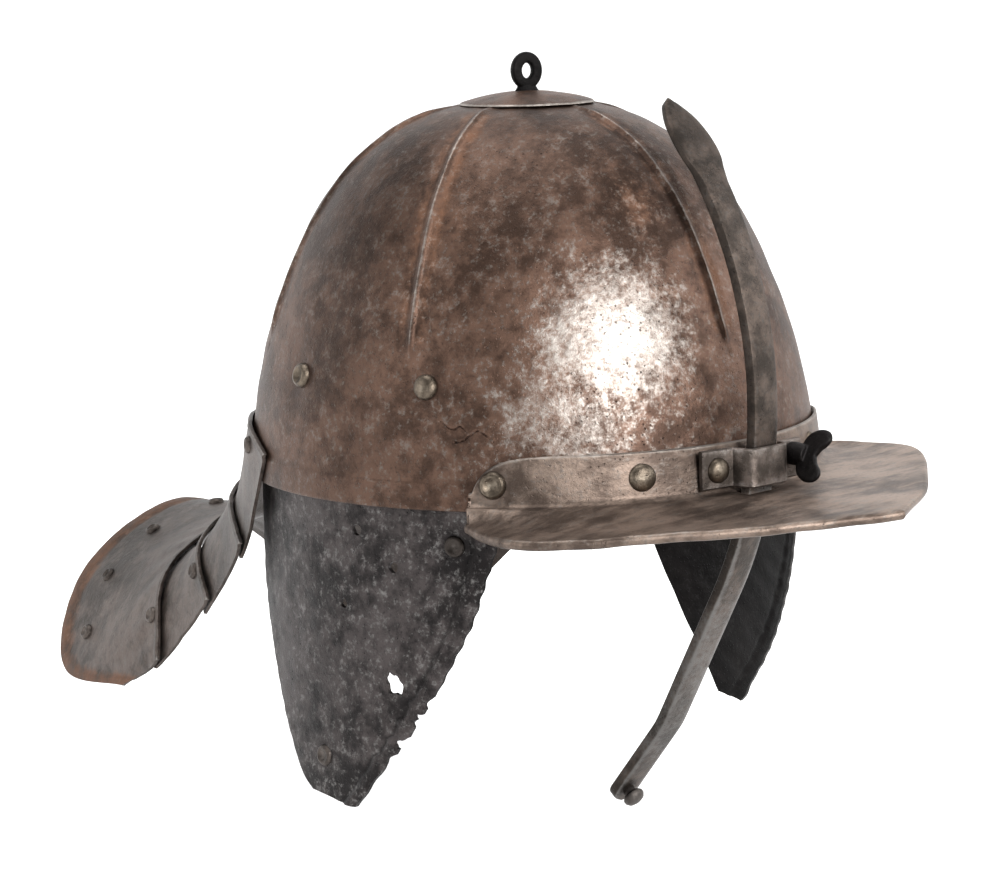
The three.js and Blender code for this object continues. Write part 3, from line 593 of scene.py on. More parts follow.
def aged_steel(name, patches=(), **tones):
    """Old steel: mottled, rusty where marked, darkened by painted shade where marked, bare on worn edges and
    patches, and pitted
    """
    finish = {**PLAIN_FINISH, **FINISHES[name], **tones}
    deep = finish["deep"]
    shade = Shade(name)
    cloud = shade.noise(**GRAINS["cloud"])
    mottle = shade.noise(**GRAINS["mottle"], stretch=finish["streak"])
    fleck = shade.noise(**GRAINS["fleck"], stretch=finish["streak"])
    grain = shade.noise(**GRAINS["grain"])
    pit = shade.pits(PIT_SCALE)
    tone = shade.mix(shade.ease(cloud * 0.5 + mottle * 0.5, 0.41, 0.58), deep, finish["base"])
    tone = shade.mix(shade.ease(fleck * 0.6 + grain * 0.4, 0.49, 0.62) * 0.7, tone, deep)
    rust_here = shade.mark("rust") * 0.9 + cloud * 0.5 + mottle * 0.5 + fleck * 0.3 + finish["rusty"]
    rust_here = shade.ease(rust_here, 0.96, 1.3)
    tone = shade.mix(rust_here * 0.85, tone, tuple(colours().rust))
    worn_here = shade.ease(shade.mark("worn") + mottle * 0.45 + fleck * 0.4, 0.74, 1.12)
    for centre, reach, share in patches:
        spot = shade.near(centre, reach) * share + mottle * 0.4 + fleck * 0.45 + grain * 0.15
        spot = shade.ease(spot, 0.64, 0.94)
        worn_here = worn_here + spot - worn_here * spot
    silver = shade.ease(fleck * 0.6 + mottle * 0.35 + grain * 0.2, 0.58, 0.72) * finish["speckle"]
    worn_here = worn_here + silver - worn_here * silver
    tone = shade.mix(worn_here, tone, finish["bare"])
    hole = shade.ease(pit + mottle * 0.25, 0.34, 0.1) * finish["pitted"]
    tone = shade.mix(hole, tone, darker(deep, 0.35))
    # Painted shade: the marked places are darkened towards near black
    tone = shade.mix(shade.mark("painted_shade") * 0.85, tone, darker(deep, 0.3))
    rough = finish["gloss"] + mottle * 0.22 + rust_here * 0.25 - worn_here * 0.06 + hole * 0.2
    metal = 0.92 - rust_here * 0.5 - hole * 0.2
    relief = grain * 0.14 + mottle * 0.45 + fleck * 0.3 - hole * 0.7
    return shade.finish(tone, rough, metal, relief, RELIEF_DEPTH)


def dry_leather(name):
    shade = Shade(name)
    cloud = shade.noise(60, 6, 0.6)
    grain = shade.pits(900)
    base = tuple(colours().leather)
    tone = shade.mix(cloud, darker(base, 0.45), base)
    tone = shade.mix(shade.ease(grain, 0.25, 0.05) * 0.5, tone, darker(base, 0.3))
    return shade.finish(tone, 0.65 + cloud * 0.25, 0.0 * cloud, grain * 0.6 + cloud * 0.4, 0.0007)


def pale_floor(name):
    shade = Shade(name)
    cloud = shade.noise(3, 2, 0.5)
    base = tuple(colours().floor)
    tone = shade.mix(cloud, base, darker(base, 0.985))
    shade.surface.inputs["Emission Color"].default_value = (1, 1, 1, 1)
    shade.surface.inputs["Emission Strength"].default_value = FLOOR["glow"]
    return shade.finish(tone, 0.75 + cloud * 0.05, 0.0 * cloud, cloud, 0.0)


# Pieces

class BuildSkull(bpy.types.Operator):
    """Ribbed bowl with a raised border, dents and a crack"""

    bl_idname = "helmet.skull"
    bl_label = "Skull"

    def angles(self):
        """Angles round the skull in degrees, closer on the ribs and round the crack"""
        stops = [np.arange(0, 360, 0.9)]
        for rib in RIB_ANGLES:
            stops.append(np.arange(rib - 6, rib + 6.01, 0.3) % 360)
        stops.append(np.arange(52, 66, 0.2))
        return np.unique(np.round(np.concatenate(stops), 2))

    def heights(self):
        top = sizes().height / MM
        body = top * np.sin(np.linspace(0, 1, 90) * math.pi / 2)
        near_crack = np.arange(22, 34, 0.5)
        near_foot = np.arange(RIB["foot"] - 4, RIB["foot"] + RIB["fade"] + 4, 1)
        rows = np.concatenate([body[body > SKULL["border_height"] + 2.5], near_crack, near_foot])
        return np.unique(np.round(rows, 2))[::-1]

    def line_depth(self, line, angle, z, width):
        """How near each point is to a cracked line, from 0 to 1"""
        places = curve(line, np.linspace(0, 1, 60))
        along = (np.asarray(angle)[..., None] - places[:, 0]) * math.radians(1) * sizes().half_length / MM
        rise = np.asarray(z)[..., None] - places[:, 1]
        return np.exp(-(np.min(np.hypot(along, rise), axis=-1) / width) ** 2)

    def execute(self, context):
        angle = self.angles()
        rows = self.heights()
        top = sizes().height / MM
        turn, z = np.meshgrid(angle, rows, indexing="ij")
        base = skull_point(np.radians(turn), z)
        reach = np.hypot(base[..., 0], base[..., 1])
        lift = np.zeros_like(z)
        worn = np.zeros_like(z)
        rust = np.zeros_like(z)
        painted_dark = np.zeros_like(z)
        rise = smoothstep(z, RIB["foot"], RIB["foot"] + RIB["fade"]) * (1 - smoothstep(z, top - 5, top))
        for rib in RIB_ANGLES:
            off = np.radians((turn - rib + 180) % 360 - 180) * np.maximum(reach, 8)
            crest = np.exp(-(off / RIB["crest_width"]) ** 2)
            groove = np.exp(-((np.abs(off) - RIB["groove_at"]) / RIB["groove_width"]) ** 2)
            lift += rise * (RIB["crest"] * crest - RIB["groove"] * groove)
            worn = np.maximum(worn, 0.5 * rise * np.exp(-(off / 0.9) ** 2))
            rust = np.maximum(rust, 0.42 * rise * np.exp(-((np.abs(off) - 3.5) / 5) ** 2))
            # Painted shadow: a thin dark line along one side of each rib
            painted_dark = np.maximum(painted_dark, 0.5 * rise * np.exp(-((off - 2.2) / 0.9) ** 2))
        foot_pit = np.exp(-((z - RIB["foot"] + 1) / 2.2) ** 2)
        for rib in RIB_ANGLES:
            off = np.radians((turn - rib + 180) % 360 - 180) * reach
            lift -= 0.5 * foot_pit * np.exp(-(off / 1.8) ** 2)
        for dent in DENTS:
            away = np.hypot(np.radians((turn - dent["angle"] + 180) % 360 - 180) * reach, z - dent["z"])
            lift -= dent["deep"] * np.exp(-(away / dent["radius"]) ** 2)
        # Rust stains, and painted shade on the zones marked for it
        for stain in STAINS_AND_SHADE:
            away = np.hypot(np.radians((turn - stain["angle"] + 180) % 360 - 180) * reach, z - stain["z"])
            share = stain["share"] * np.exp(-(away / stain["radius"]) ** 2)
            if stain["mark"] == "rust":
                rust = np.maximum(rust, share)
            else:
                painted_dark = np.maximum(painted_dark, share)
        crack = np.maximum(self.line_depth(CRACK, turn, z, 0.34), self.line_depth(CRACK_FORK, turn, z, 0.3))
        swell = np.maximum(self.line_depth(CRACK, turn, z, 2.6), self.line_depth(CRACK_FORK, turn, z, 2))
        lift += 0.4 * swell - 0.8 * crack
        worn = np.maximum(worn, 0.3 * swell * (1 - crack))
        lift += 0.22 * ripple(base, 34, 3) + 0.12 * ripple(base, 15, 4)
        outward = base / np.linalg.norm(base, axis=-1, keepdims=True)
        outer = base + outward * lift[..., None]
        rim, proud, wall = SKULL["border_height"], SKULL["border_proud"], sizes().wall / MM
        border = (
            (rim + 1.4, 0), (rim + 0.7, 0.1), (rim + 0.25, 0.6), (rim - 0.3, 1), (rim - 1.4, 1.1),
            (rim / 2, 1), (1.4, 1), (0.5, 0.8), (0.1, 0), (0, -1),
        )
        radians = np.radians(angle)
        edge = np.stack([skull_point(radians, height, step * proud) for height, step in border], axis=1)
        inner_rows = (top - wall) * np.sin(np.linspace(0, 1, 40) * math.pi / 2)
        inner_rows[0] = 0.2
        inner = np.stack([skull_point(radians, height, -wall) for height in inner_rows], axis=1)
        inner += 0.2 * ripple(inner, 30, 5)[..., None] * np.sign(inner) * (np.abs(inner) > 4) * (1, 1, 0)
        loops = np.concatenate([outer, edge, inner], axis=1)
        edge_wear = np.tile(BORDER_WORN, (len(angle), 1))
        plain = np.zeros(inner.shape[:2])
        wear = np.concatenate([worn, edge_wear, plain], axis=1)
        stain = np.concatenate([rust, edge_wear * 0, plain + 0.25], axis=1)
        # Painted shade: the rib lines and zones outside, and the inside of the bowl much darker; the raised
        # border a little darker
        painted_shade = np.concatenate([painted_dark, edge_wear * 0 + 0.3, plain + 0.7], axis=1)
        thing = loft("skull_bowl", loops, True, {"worn": wear, "rust": stain, "painted_shade": painted_shade}, 50)
        front = tuple(skull_point(math.radians(27), 60) * MM)
        low = tuple(skull_point(math.radians(38), 32) * MM)
        back = tuple(skull_point(math.radians(128), 60) * MM)
        patches = ((front, 0.058, 0.36), (low, 0.065, 0.26), (back, 0.05, 0.16))
        patina, steel = tuple(colours().patina), tuple(colours().steel)
        paint = aged_steel("skull_patina", patches, base=patina, deep=darker(patina, 0.36), bare=steel)
        dress(thing, paint, HELMET, ["skull"])
        return {"FINISHED"}


class BuildCrown(bpy.types.Operator):
    """Domed disc on the crown and the pierced eye"""

    bl_idname = "helmet.crown"
    bl_label = "Crown disc and eye"

    def execute(self, context):
        share = np.concatenate([np.linspace(0, 0.94, 14), (0.975, 0.995, 1, 0.995)])
        fall = np.concatenate([np.zeros(14), (0.05, 0.25, 0.6, 0.9)])
        turn = np.linspace(0, 2 * math.pi, 96, endpoint=False)
        edge_wave = 1 + 0.008 * np.sin(5 * turn + 1) + 0.006 * np.sin(11 * turn)
        x = DISC["radius"] * share * np.cos(turn)[:, None] * edge_wave[:, None]
        y = DISC["radius"] * share * np.sin(turn)[:, None] * edge_wave[:, None] - DISC["forward"]
        shoulder = crown_height(np.zeros(1), np.array([DISC["radius"] + DISC["forward"]]))[0]
        edge = shoulder + DISC["rim"] + DISC["clear"]
        upper = edge + DISC["dome"] * (1 - share ** 2) - fall * DISC["rim"]
        upper = np.broadcast_to(upper, x.shape)
        over = np.stack([x, y, upper], axis=-1)
        over[..., 2] += 0.15 * ripple(over, 12, 8) * (share < 0.99)
        under_x, under_y = x[:, :14:3][:, ::-1], y[:, :14:3][:, ::-1]
        under_dome = edge + DISC["dome"] * (1 - share[:14:3][::-1] ** 2) - 0.5
        under_z = np.minimum(crown_height(under_x, under_y) + 0.2, under_dome)
        under = np.stack([under_x, under_y, under_z], axis=-1)
        wear = np.concatenate([np.zeros(12), DISC_WORN, np.zeros(under.shape[1])])
        wear = np.tile(wear, (len(turn), 1))
        loops = np.concatenate([over, under], axis=1)
        disc = loft("crown_disc", loops, True, {"worn": wear, "rust": wear * 0.3}, 45)
        patina, steel = tuple(colours().patina), tuple(colours().steel)
        paint = aged_steel("disc_patina", base=darker(patina, 1.3), deep=darker(patina, 0.5), bare=steel)
        dress(disc, paint, HELMET, ["finial_disc"])
        self.eye(edge + DISC["dome"])
        return {"FINISHED"}

    def eye(self, foot):
        turn = np.linspace(0, 2 * math.pi, 64, endpoint=False)
        around = np.linspace(0, 2 * math.pi, 20, endpoint=False)
        middle_x = (EYE["half_width"] + EYE["hole_width"]) / 2
        middle_z = (EYE["half_height"] + EYE["hole_height"]) / 2
        thick_x = (EYE["half_width"] - EYE["hole_width"]) / 2
        square = np.sign(np.cos(around)) * np.abs(np.cos(around)) ** 0.6
        depth = np.sign(np.sin(around)) * np.abs(np.sin(around)) ** 0.6 * EYE["thick"] / 2
        x = np.cos(turn)[:, None] * (middle_x + thick_x * square)
        z = np.sin(turn)[:, None] * (middle_z + thick_x * square)
        ring = loft("eye_ring", np.stack([x, np.broadcast_to(depth, x.shape), z], axis=-1), True)
        base = foot - EYE["centre"]
        levels = ((base - 0.3, 1.28), (base + 0.6, 1.1), (-middle_z - 0.2, 0.86), (-middle_z + 1.4, 0.7))
        stem_x = 4 * np.cos(around)
        stem_y = EYE["thick"] * 0.56 * np.sin(around)
        loops = []
        for level, wide in levels:
            loops.append(np.column_stack([stem_x * wide, stem_y * wide, np.full(len(around), level)]))
        stem = loft("eye_stem", loops)
        eye = forged("crown_eye", [ring, stem], 0.22, 4)
        place = Matrix.Translation((0, -DISC["forward"] * MM, EYE["centre"] * MM))
        eye.data.transform(place @ Matrix.Rotation(EYE_TURN, 4, "Z"))
        iron = colours().iron
        paint = aged_steel("eye_iron", base=darker(iron, 0.25), deep=darker(iron, 0.12))
        dress(eye, paint, HELMET, ["hanging_eye"])


class BuildPeak(bpy.types.Operator):
    """Riveted band folded out into a pointed plate with a rolled edge"""

    bl_idname = "helmet.peak"
    bl_label = "Peak"

    def section(self, degrees):
        """One closed section at an angle, down the band, out along the plate, round the roll and back"""
        inner = SKULL["border_proud"] + 0.3
        outer = inner + PEAK["sheet"]
        fold, level, sheet, roll = PEAK["fold"], PEAK["level"], PEAK["sheet"], PEAK["roll"]
        angle = math.radians(degrees)
        share = abs(degrees) / PEAK["end"]
        top = max(PEAK["least"], PEAK["band"] * math.sqrt(1 - share ** PEAK["corner"]))
        plan = curve(PEAK_OUTLINE, share, True)[0]
        drop = PEAK["tip_drop"] + (PEAK["side_drop"] - PEAK["tip_drop"]) * math.sin(share * math.pi / 2)
        root = skull_point(angle, 0, outer + fold)
        root[2] = level
        side = -math.copysign(1, degrees)
        edge = np.array((side * plan[0], -plan[1], level - drop))
        edge[2] += PEAK["skew"] * edge[0]
        edge += 0.5 * ripple(edge, 28, 11) * np.array((0, 1, 0.7))
        way = edge - root
        way[2] = 0
        way /= np.linalg.norm(way)
        up = np.array((0, 0, 1))
        centre = edge - roll * way - roll * up
        bead = []
        for t in np.radians(np.linspace(90, -190, 16)):
            bead.append(centre + roll * (way * math.cos(t) + up * math.sin(t)))
        folded = []
        for t in np.radians(np.linspace(180, 270, 7)):
            rise, reach = fold * (1 + math.sin(t)), fold * (1 + math.cos(t))
            folded.append(skull_point(angle, level + rise, outer + reach))
        steps = np.linspace(0, 1, 15)[1:-1]
        plate = [root + (bead[0] - root) * t - 0.9 * math.sin(t * math.pi) * up for t in steps]
        band = [skull_point(angle, height, lift) for height, lift in
                ((top - 0.5, outer), (top - 1.5, outer), ((top + level + fold) / 2, outer))]
        back = [point - sheet * up for point in reversed(plate)]
        close = [skull_point(angle, level - sheet, outer + 1), skull_point(angle, level, inner),
                 skull_point(angle, (top + level) / 2, inner), skull_point(angle, top - 0.4, inner),
                 skull_point(angle, top, (inner + outer) / 2)]
        points = np.array(band + folded + plate + bead + back + close)
        counts = [row[0] for row in PEAK_MARKS]
        wear, rust, painted_shade = (np.repeat([row[k] for row in PEAK_MARKS], counts) for k in (1, 2, 3))
        # Painted shade: the plate darker towards the wearer's right
        shaded = 0.4 * smoothstep(-points[:, 0], -20, 45)
        return points, wear, rust, np.maximum(painted_shade, shaded)

    def execute(self, context):
        turns = np.concatenate([np.linspace(-PEAK["end"], PEAK["end"], 190), (-1e-3, 1e-3)])
        sections = [self.section(degrees) for degrees in np.unique(turns)]
        loops, wear, rust, painted_shade = (np.array([section[k] for section in sections]) for k in range(4))
        loops[..., 2] += 0.12 * ripple(loops, 22, 12) * (loops[..., 1] < -120)
        thing = loft("peak_plate", loops, False, {"worn": wear, "rust": rust, "painted_shade": painted_shade}, 38)
        back = sizes().half_length / MM + SKULL["border_proud"] + 0.15
        half, front, level = PEAK["slot_half"], PEAK["slot_front"], PEAK["level"]
        corners = ((-half, back), (half, back), (half, front), (-half, front))
        ring = np.array([(BAR["aside"] + x, -y) for x, y in corners])
        loops = [np.column_stack([ring, np.full(4, height)]) for height in (level - 9, level + 3)]
        cut(thing, loft("slot_tool", loops), 38)
        paint = aged_steel("peak_patina", bare=tuple(colours().steel))
        dress(thing, paint, HELMET, ["peak"])
        return {"FINISHED"}


class BuildNasal(bpy.types.Operator):
    """Sliding nasal bar with a leaf-shaped top and a stud"""

    bl_idname = "helmet.nasal"
    bl_label = "Nasal bar"

    def frame_at(self, degrees, beyond=0):
        """Middle of the front face, and the outward direction, on the arc or beyond its end"""
        def outward(turn):
            return np.array((0, math.cos(math.radians(turn)), math.sin(math.radians(turn))))

        def down(out):
            return np.array((0, -out[2], out[1]))

        out = outward(degrees)
        middle = np.array((0, BAR["centre_y"], BAR["centre_z"])) + out * BAR["radius"]
        straight = min(beyond, BAR["straight"])
        middle = middle + down(out) * straight
        eased = np.linspace(0, beyond - straight, 9)[1:] if beyond > straight else ()
        before = 0
        for far in eased:
            turn = degrees + BAR["knee"] * float(smoothstep(far, -6, 8))
            middle = middle + down(outward(turn)) * (far - before)
            out = outward(turn)
            before = far
        middle[0] = BAR["aside"] + BAR["lean"] * (middle[2] - BAR["lean_height"])
        return middle, out

    def ring(self, middle, out, half, thick):
        """A rounded bar section with its front face a little crowned"""
        soft = min(1.1, half * 0.45)
        shape = [(-half, thick - 0.4), (-half, soft), (-half + soft * 0.3, soft * 0.3), (-half + soft, 0)]
        shape += [(-half * 0.5, -0.16), (0, -0.22)]
        shape += [(-x, depth) for x, depth in reversed(shape[:-1])]
        shape += [(half - 0.4, thick), (0, thick), (0.4 - half, thick)]
        return np.array([middle + np.array((x, 0, 0)) - out * depth for x, depth in shape])

    def execute(self, context):
        leaf = np.array(LEAF)
        fine = curve(leaf, np.linspace(0, 1, 40))
        loops = []
        for degrees, half in fine:
            blend = float(smoothstep(degrees, 145, 150))
            thick = BAR["leaf_thick"] + (BAR["thick"] - BAR["leaf_thick"]) * blend
            loops.append(self.ring(*self.frame_at(degrees), max(half, 0.35), thick))
        for degrees in np.linspace(149.6, BAR["arc_end"], 60):
            loops.append(self.ring(*self.frame_at(degrees), BAR["half"], BAR["thick"]))
        length = BAR["straight"] + BAR["end"]
        near_end = length - np.array((BAR["round"], 5, 4, 3, 2, 1.2, 0.6, 0.2))
        for beyond in np.concatenate([np.arange(4, length - BAR["round"], 4), near_end]):
            left = length - beyond
            half = BAR["half"]
            if left < BAR["round"]:
                half *= math.sqrt(max(0.02, 1 - (1 - left / BAR["round"]) ** 2))
            loops.append(self.ring(*self.frame_at(BAR["arc_end"], beyond), half, BAR["thick"]))
        loops = np.array(loops)
        loops += 0.1 * ripple(loops, 18, 15)[..., None] * np.array((1, 0.4, 0))
        wear = np.tile(BAR_WORN, (len(loops), 1))
        height = loops[..., 2]
        wear = wear * (0.4 + 0.6 * smoothstep(-height, -60, 0)) + 0.16 * smoothstep(-height, 0, 30)
        rust = 0.3 * np.exp(-((height - 25) / 18) ** 2) + 0.12 * smoothstep(height, 10, 60)
        # Painted shade on the bar's side faces and back
        painted_shade = np.tile(BAR_PAINTED_SHADE, (len(loops), 1))
        bar = loft("nasal_slide_bar", loops, False, {"worn": wear, "rust": rust, "painted_shade": painted_shade}, 42)
        patches = (((0, -0.085, -0.075), 0.09, 0.3),)
        paint = aged_steel("nasal_steel", patches)
        dress(bar, paint, NASAL, ["nasal_bar"])
        middle, out = self.frame_at(BAR["arc_end"], length - STUD_BACK)
        stud = lathe("nasal_end_stud", STUD_OUTLINE, 36)
        place_on(stud, middle, out)
        paint = aged_steel("stud_iron")
        dress(stud, paint, NASAL, ["nasal_stud"])
        return {"FINISHED"}


def place_on(thing, point, normal):
    """Stands a thing that was turned about Z on a point, along a normal"""
    turn = Vector((0, 0, 1)).rotation_difference(Vector(normal)).to_matrix().to_4x4()
    thing.data.transform(Matrix.Translation(Vector(point) * MM) @ turn)


def rounded(line, radius, steps=6):
    """A line with its corners rounded"""
    line = np.asarray(line, float)
    points = [line[0]]
    for before, corner, after in zip(line, line[1:], line[2:]):
        arrive = (corner - before) / np.linalg.norm(corner - before)
        leave = (after - corner) / np.linalg.norm(after - corner)
        start, end = corner - arrive * radius, corner + leave * radius
        for t in np.linspace(0, 1, steps):
            points.append((1 - t) ** 2 * start + 2 * t * (1 - t) * corner + t ** 2 * end)
    points.append(line[-1])
    return np.array(points)


class BuildStrap(bpy.types.Operator):
    """Bent strap over the bar and its wing screw"""

    bl_idname = "helmet.strap"
    bl_label = "Strap and wing screw"

    def execute(self, context):
        line = rounded(STRAP_LINE, 1.5)
        line[:, 0] += BAR["aside"]
        run = np.gradient(line, axis=0)
        run /= np.linalg.norm(run, axis=1, keepdims=True)
        away = np.column_stack([run[:, 1], -run[:, 0]])
        low, high, thick = STRAP["bottom"], STRAP["bottom"] + STRAP["height"], STRAP["thick"]
        middle = (low + high) / 2
        shape = (
            (0, low + 0.3), (0, middle), (0, high - 0.3), (0.3, high), (thick - 0.5, high),
            (thick, high - 0.5), (thick + 0.1, middle), (thick, low + 0.5), (thick - 0.5, low), (0.3, low),
        )
        loops = []
        for point, side in zip(line, away):
            flat = [point + side * depth for depth, _ in shape]
            loops.append(np.column_stack([flat, [height for _, height in shape]]))
        wear = np.tile(STRAP_WORN, (len(loops), 1))
        strap = loft("nasal_guide_strap", loops, False, {"worn": wear, "rust": wear * 0 + 0.2}, 42)
        paint = aged_steel("strap_steel")
        dress(strap, paint, HELMET, ["nasal_strap"])
        self.screw()
        return {"FINISHED"}

    def screw(self):
        boss = lathe("screw_boss", SCREW_OUTLINE, 32)
        boss.data.transform(Matrix.Rotation(math.radians(-90), 4, "X"))
        outline = np.array(WING_OUTLINE, float)
        right = curve(outline, np.linspace(0, 1, 40))
        ring = np.concatenate([right, (right * (-1, 1))[-2:0:-1]])
        middle = np.array((0, 4.5))
        loops = []
        for depth, share in ((-1, 0.86), (-0.6, 0.97), (0, 1), (0.6, 0.97), (1, 0.86)):
            shrunk = middle + (ring - middle) * (share, share)
            high = np.full(len(ring), depth * WING_HALF_THICK)
            loops.append(np.column_stack([shrunk[:, 0], WING_BACK - shrunk[:, 1], high]))
        wings = loft("screw_wings", loops)
        wings.data.transform(Matrix.Rotation(-SCREW["turn"], 4, "Y"))
        screw = forged("wing_screw_forged", [boss, wings], 0.28, 4)
        screw.data.transform(Matrix.Translation((SCREW["x"] * MM, 0, SCREW["z"] * MM)))
        iron = colours().iron
        paint = aged_steel("screw_iron", base=darker(iron, 0.6), deep=darker(iron, 0.3))
        dress(screw, paint, WING, ["wing_screw"])


def cheek_point(hand, y, z, proud=0):
    bowl = CHEEK["half_width"] * np.sqrt(1 - (y / CHEEK["half_length"]) ** 2)
    flare = CHEEK["flare"] * (np.minimum(z, 0) / CHEEK["flare_depth"]) ** 2
    return np.stack(np.broadcast_arrays(hand * (bowl + flare + proud), y, z), axis=-1)


class BuildCheeks(bpy.types.Operator):
    """Hanging cheek plates, pierced and rusted, and their leathers"""

    bl_idname = "helmet.cheeks"
    bl_label = "Cheek plates"

    def edges(self, hand):
        """Heights with the front and back edge at each"""
        heights = np.linspace(CHEEK_Z[0], CHEEK_Z[-1], 150)
        stops = np.array(CHEEK_Z)[::-1]
        table = np.column_stack([CHEEK_Z, CHEEK_FRONT, CHEEK_BACK[hand]])
        fine = curve(table, np.linspace(0, 1, 400))
        front = np.interp(-heights, -fine[:, 0], fine[:, 1])
        back = np.interp(-heights, -fine[:, 0], fine[:, 2])
        slope = (heights - stops[0]) / (stops[-1] - stops[0])
        if hand == RIGHT:
            loss = smoothstep(-heights, 62, 72) * (1 - smoothstep(-heights, 92, 100))
            spots = np.column_stack([heights, heights * 0.6, heights * 0.3])
            bite = 0.5 + 1.5 * ripple(spots, 9, 61) + 0.9 * ripple(spots, 4, 62)
            front = front + loss * np.clip(bite, 0, 2.4)
        front = front + 0.25 * np.sin(heights * 0.9 + hand) * (slope < 0.97)
        return heights, front, back

    def plate(self, name, hand):
        heights, front, back = self.edges(hand)
        inset = np.array((0, 0.5, 1.2, 1.9, 2.6, 3.4, 4.2, 5, 5.7, 6.4, 7.2, 8, 9))
        raised = np.array((0.35, 0.6, 0.9, 1.05, 1.1, 1.1, 1.05, 0.9, 0.5, 0.05, -0.22, -0.15, 0))
        spread = np.linspace(0, 1, 60)[1:]
        rim = smoothstep(-heights, 0, 11)[:, None]
        border_y = front[:, None] + inset
        plain_y = border_y[:, -1:] + (back[:, None] - border_y[:, -1:]) * spread
        y = np.concatenate([border_y, plain_y], axis=1)
        proud = np.concatenate([raised * rim, np.zeros_like(plain_y)], axis=1)
        z = np.broadcast_to(heights[:, None], y.shape).copy()
        foot = smoothstep(-z, 100, 110.6)
        z -= foot * 2.2 * (1 - smoothstep(y, front[:, None], back[:, None]))
        flat = cheek_point(hand, y, z)
        proud = proud + 0.3 * ripple(flat, 26, 21 + hand) + 0.16 * ripple(flat, 9, 23 + hand)
        outer = cheek_point(hand, y, z, proud)
        inner = cheek_point(hand, y, z, proud - CHEEK["thick"])
        away_edge = np.minimum(np.abs(y - front[:, None]), np.abs(y - back[:, None]))
        off = y - front[:, None]
        wear = 0.3 * np.exp(-(away_edge / 0.7) ** 2) + 0.26 * rim * np.exp(-((off - 3) / 2.2) ** 2)
        # Painted shadow along the inner side of the raised border
        groove = 0.7 * rim * np.exp(-((off - 7) / 0.9) ** 2)
        rust = 0.2 * np.exp(-((off - 7) / 2) ** 2)
        loops = np.concatenate([outer, inner[:, ::-1]], axis=1)
        marks = {
            "worn": np.concatenate([wear, wear[:, ::-1] * 0.3], axis=1),
            "rust": np.concatenate([rust, rust * 0], axis=1),
            # Painted shade on the plate's inner face, and along the border's groove
            "painted_shade": np.concatenate([groove, rust * 0 + 1], axis=1),
        }
        thing = loft(f"cheek_plate_{name}", loops, False, marks, 45)
        holes = list(CHEEK_HOLES) + (list(RUST_HOLES) if hand == RIGHT else [])
        cut(thing, self.drills(holes, hand), 45)
        return thing

    def drills(self, holes, hand):
        """Uneven pins that pierce the plate"""
        vertices, faces = [], []
        turn = np.linspace(0, 2 * math.pi, 28, endpoint=False)
        for number, (y, z, radius) in enumerate(holes):
            ragged = 0.05 if number < len(CHEEK_HOLES) else 0.13
            wave = np.sin(3 * turn + number) + 0.7 * np.sin(5 * turn + 2 * number)
            reach = radius * (1 + ragged * wave)
            start = len(vertices)
            for x in (0.6, 1.3):
                for far, angle in zip(reach, turn):
                    spot = (y + far * math.cos(angle), z + far * math.sin(angle))
                    vertices.append((hand * CHEEK["half_width"] * x, *spot))
            size = len(turn)
            near = [start + k for k in range(size)]
            deep = [start + size + k for k in range(size)]
            faces += [near, deep]
            faces += [[near[k], near[(k + 1) % size], deep[(k + 1) % size], deep[k]] for k in range(size)]
        return mesh_object("drill_tool", vertices, faces)

    def hanger(self, name, hand):
        wall, thick = sizes().wall / MM, HANGER["thick"]
        lifts = (-wall - 0.9, CHEEK["half_width"] - CHEEK["thick"] - 0.9 - sizes().half_width / MM)
        rows = np.array([(z, lifts[step]) for z, step in HANGER["rows"]], float)
        fine = np.column_stack([np.interp(np.linspace(0, 3, 40), range(4), rows[:, k]) for k in range(2)])
        turns = -hand * np.radians(np.linspace(HANGER["from"], HANGER["to"], 50))
        loops = []
        for turn in turns:
            outer = skull_point(turn, fine[:, 0], fine[:, 1])
            inner = skull_point(turn, fine[:, 0], fine[:, 1] - thick)
            loops.append(np.concatenate([outer, inner[::-1]]))
        loops = np.array(loops)
        loops[..., 2] += 0.6 * ripple(loops, 12, 31 + hand) * (loops[..., 2] < 0)
        return loft(f"cheek_leather_{name}", loops)

    def execute(self, context):
        paint = aged_steel("cheek_iron")
        leather = dry_leather("hanger_leather")
        for name, hand in SIDES:
            dress(self.plate(name, hand), paint, HELMET, [f"cheek_{name}"])
            dress(self.hanger(name, hand), leather, HELMET, [f"cheek_hanger_{name}"])
        return {"FINISHED"}


def tail_rings():
    """Stations of every ring from the right end over the back to the left end"""
    first = []
    for angle, drop in SKULL_RING:
        x, y, z = skull_point(math.radians(angle), TAIL["ring_top"] - drop, TAIL["seat_lift"])
        first.append((-x, y, z))
    rings = []
    for stations in (first, *TAIL_RINGS):
        stations = np.array(stations, float)
        rings.append(np.concatenate([(stations * (-1, 1, 1))[:0:-1], stations]))
    return np.array(rings)


def tail_surface(across, along):
    """Points of the tail for every along and across, across from -1 at the right end to 1"""
    rings = np.swapaxes(tail_rings(), 0, 1)
    stations = np.swapaxes(curve(rings, (np.atleast_1d(across) + 1) / 2), 0, 1)
    return curve(stations, np.atleast_1d(along) / (len(TAIL_RINGS)))


def lame_surface(lame, across, along, lift):
    """A lame's points and outward directions; lames lie one outside the other, the lowest outermost"""
    step = 2e-3
    safe = np.clip(np.atleast_1d(across), -0.995, 0.995)
    level = np.clip(np.atleast_1d(along), 0.01, len(TAIL_RINGS) - 0.01)
    run = tail_surface(safe, level + step) - tail_surface(safe, level - step)
    side = tail_surface(safe + step, level) - tail_surface(safe - step, level)
    normal = np.cross(side, run)
    normal /= np.linalg.norm(normal, axis=-1, keepdims=True)
    point = tail_surface(across, along)
    facing = np.sum(normal * (point - TAIL_INSIDE), axis=-1, keepdims=True)
    normal = np.where(facing < 0, -normal, normal)
    lift = (lame - 1) * TAIL["pitch"] + np.asarray(lift)
    return point + normal * np.broadcast_to(lift, point.shape[:2])[..., None], normal


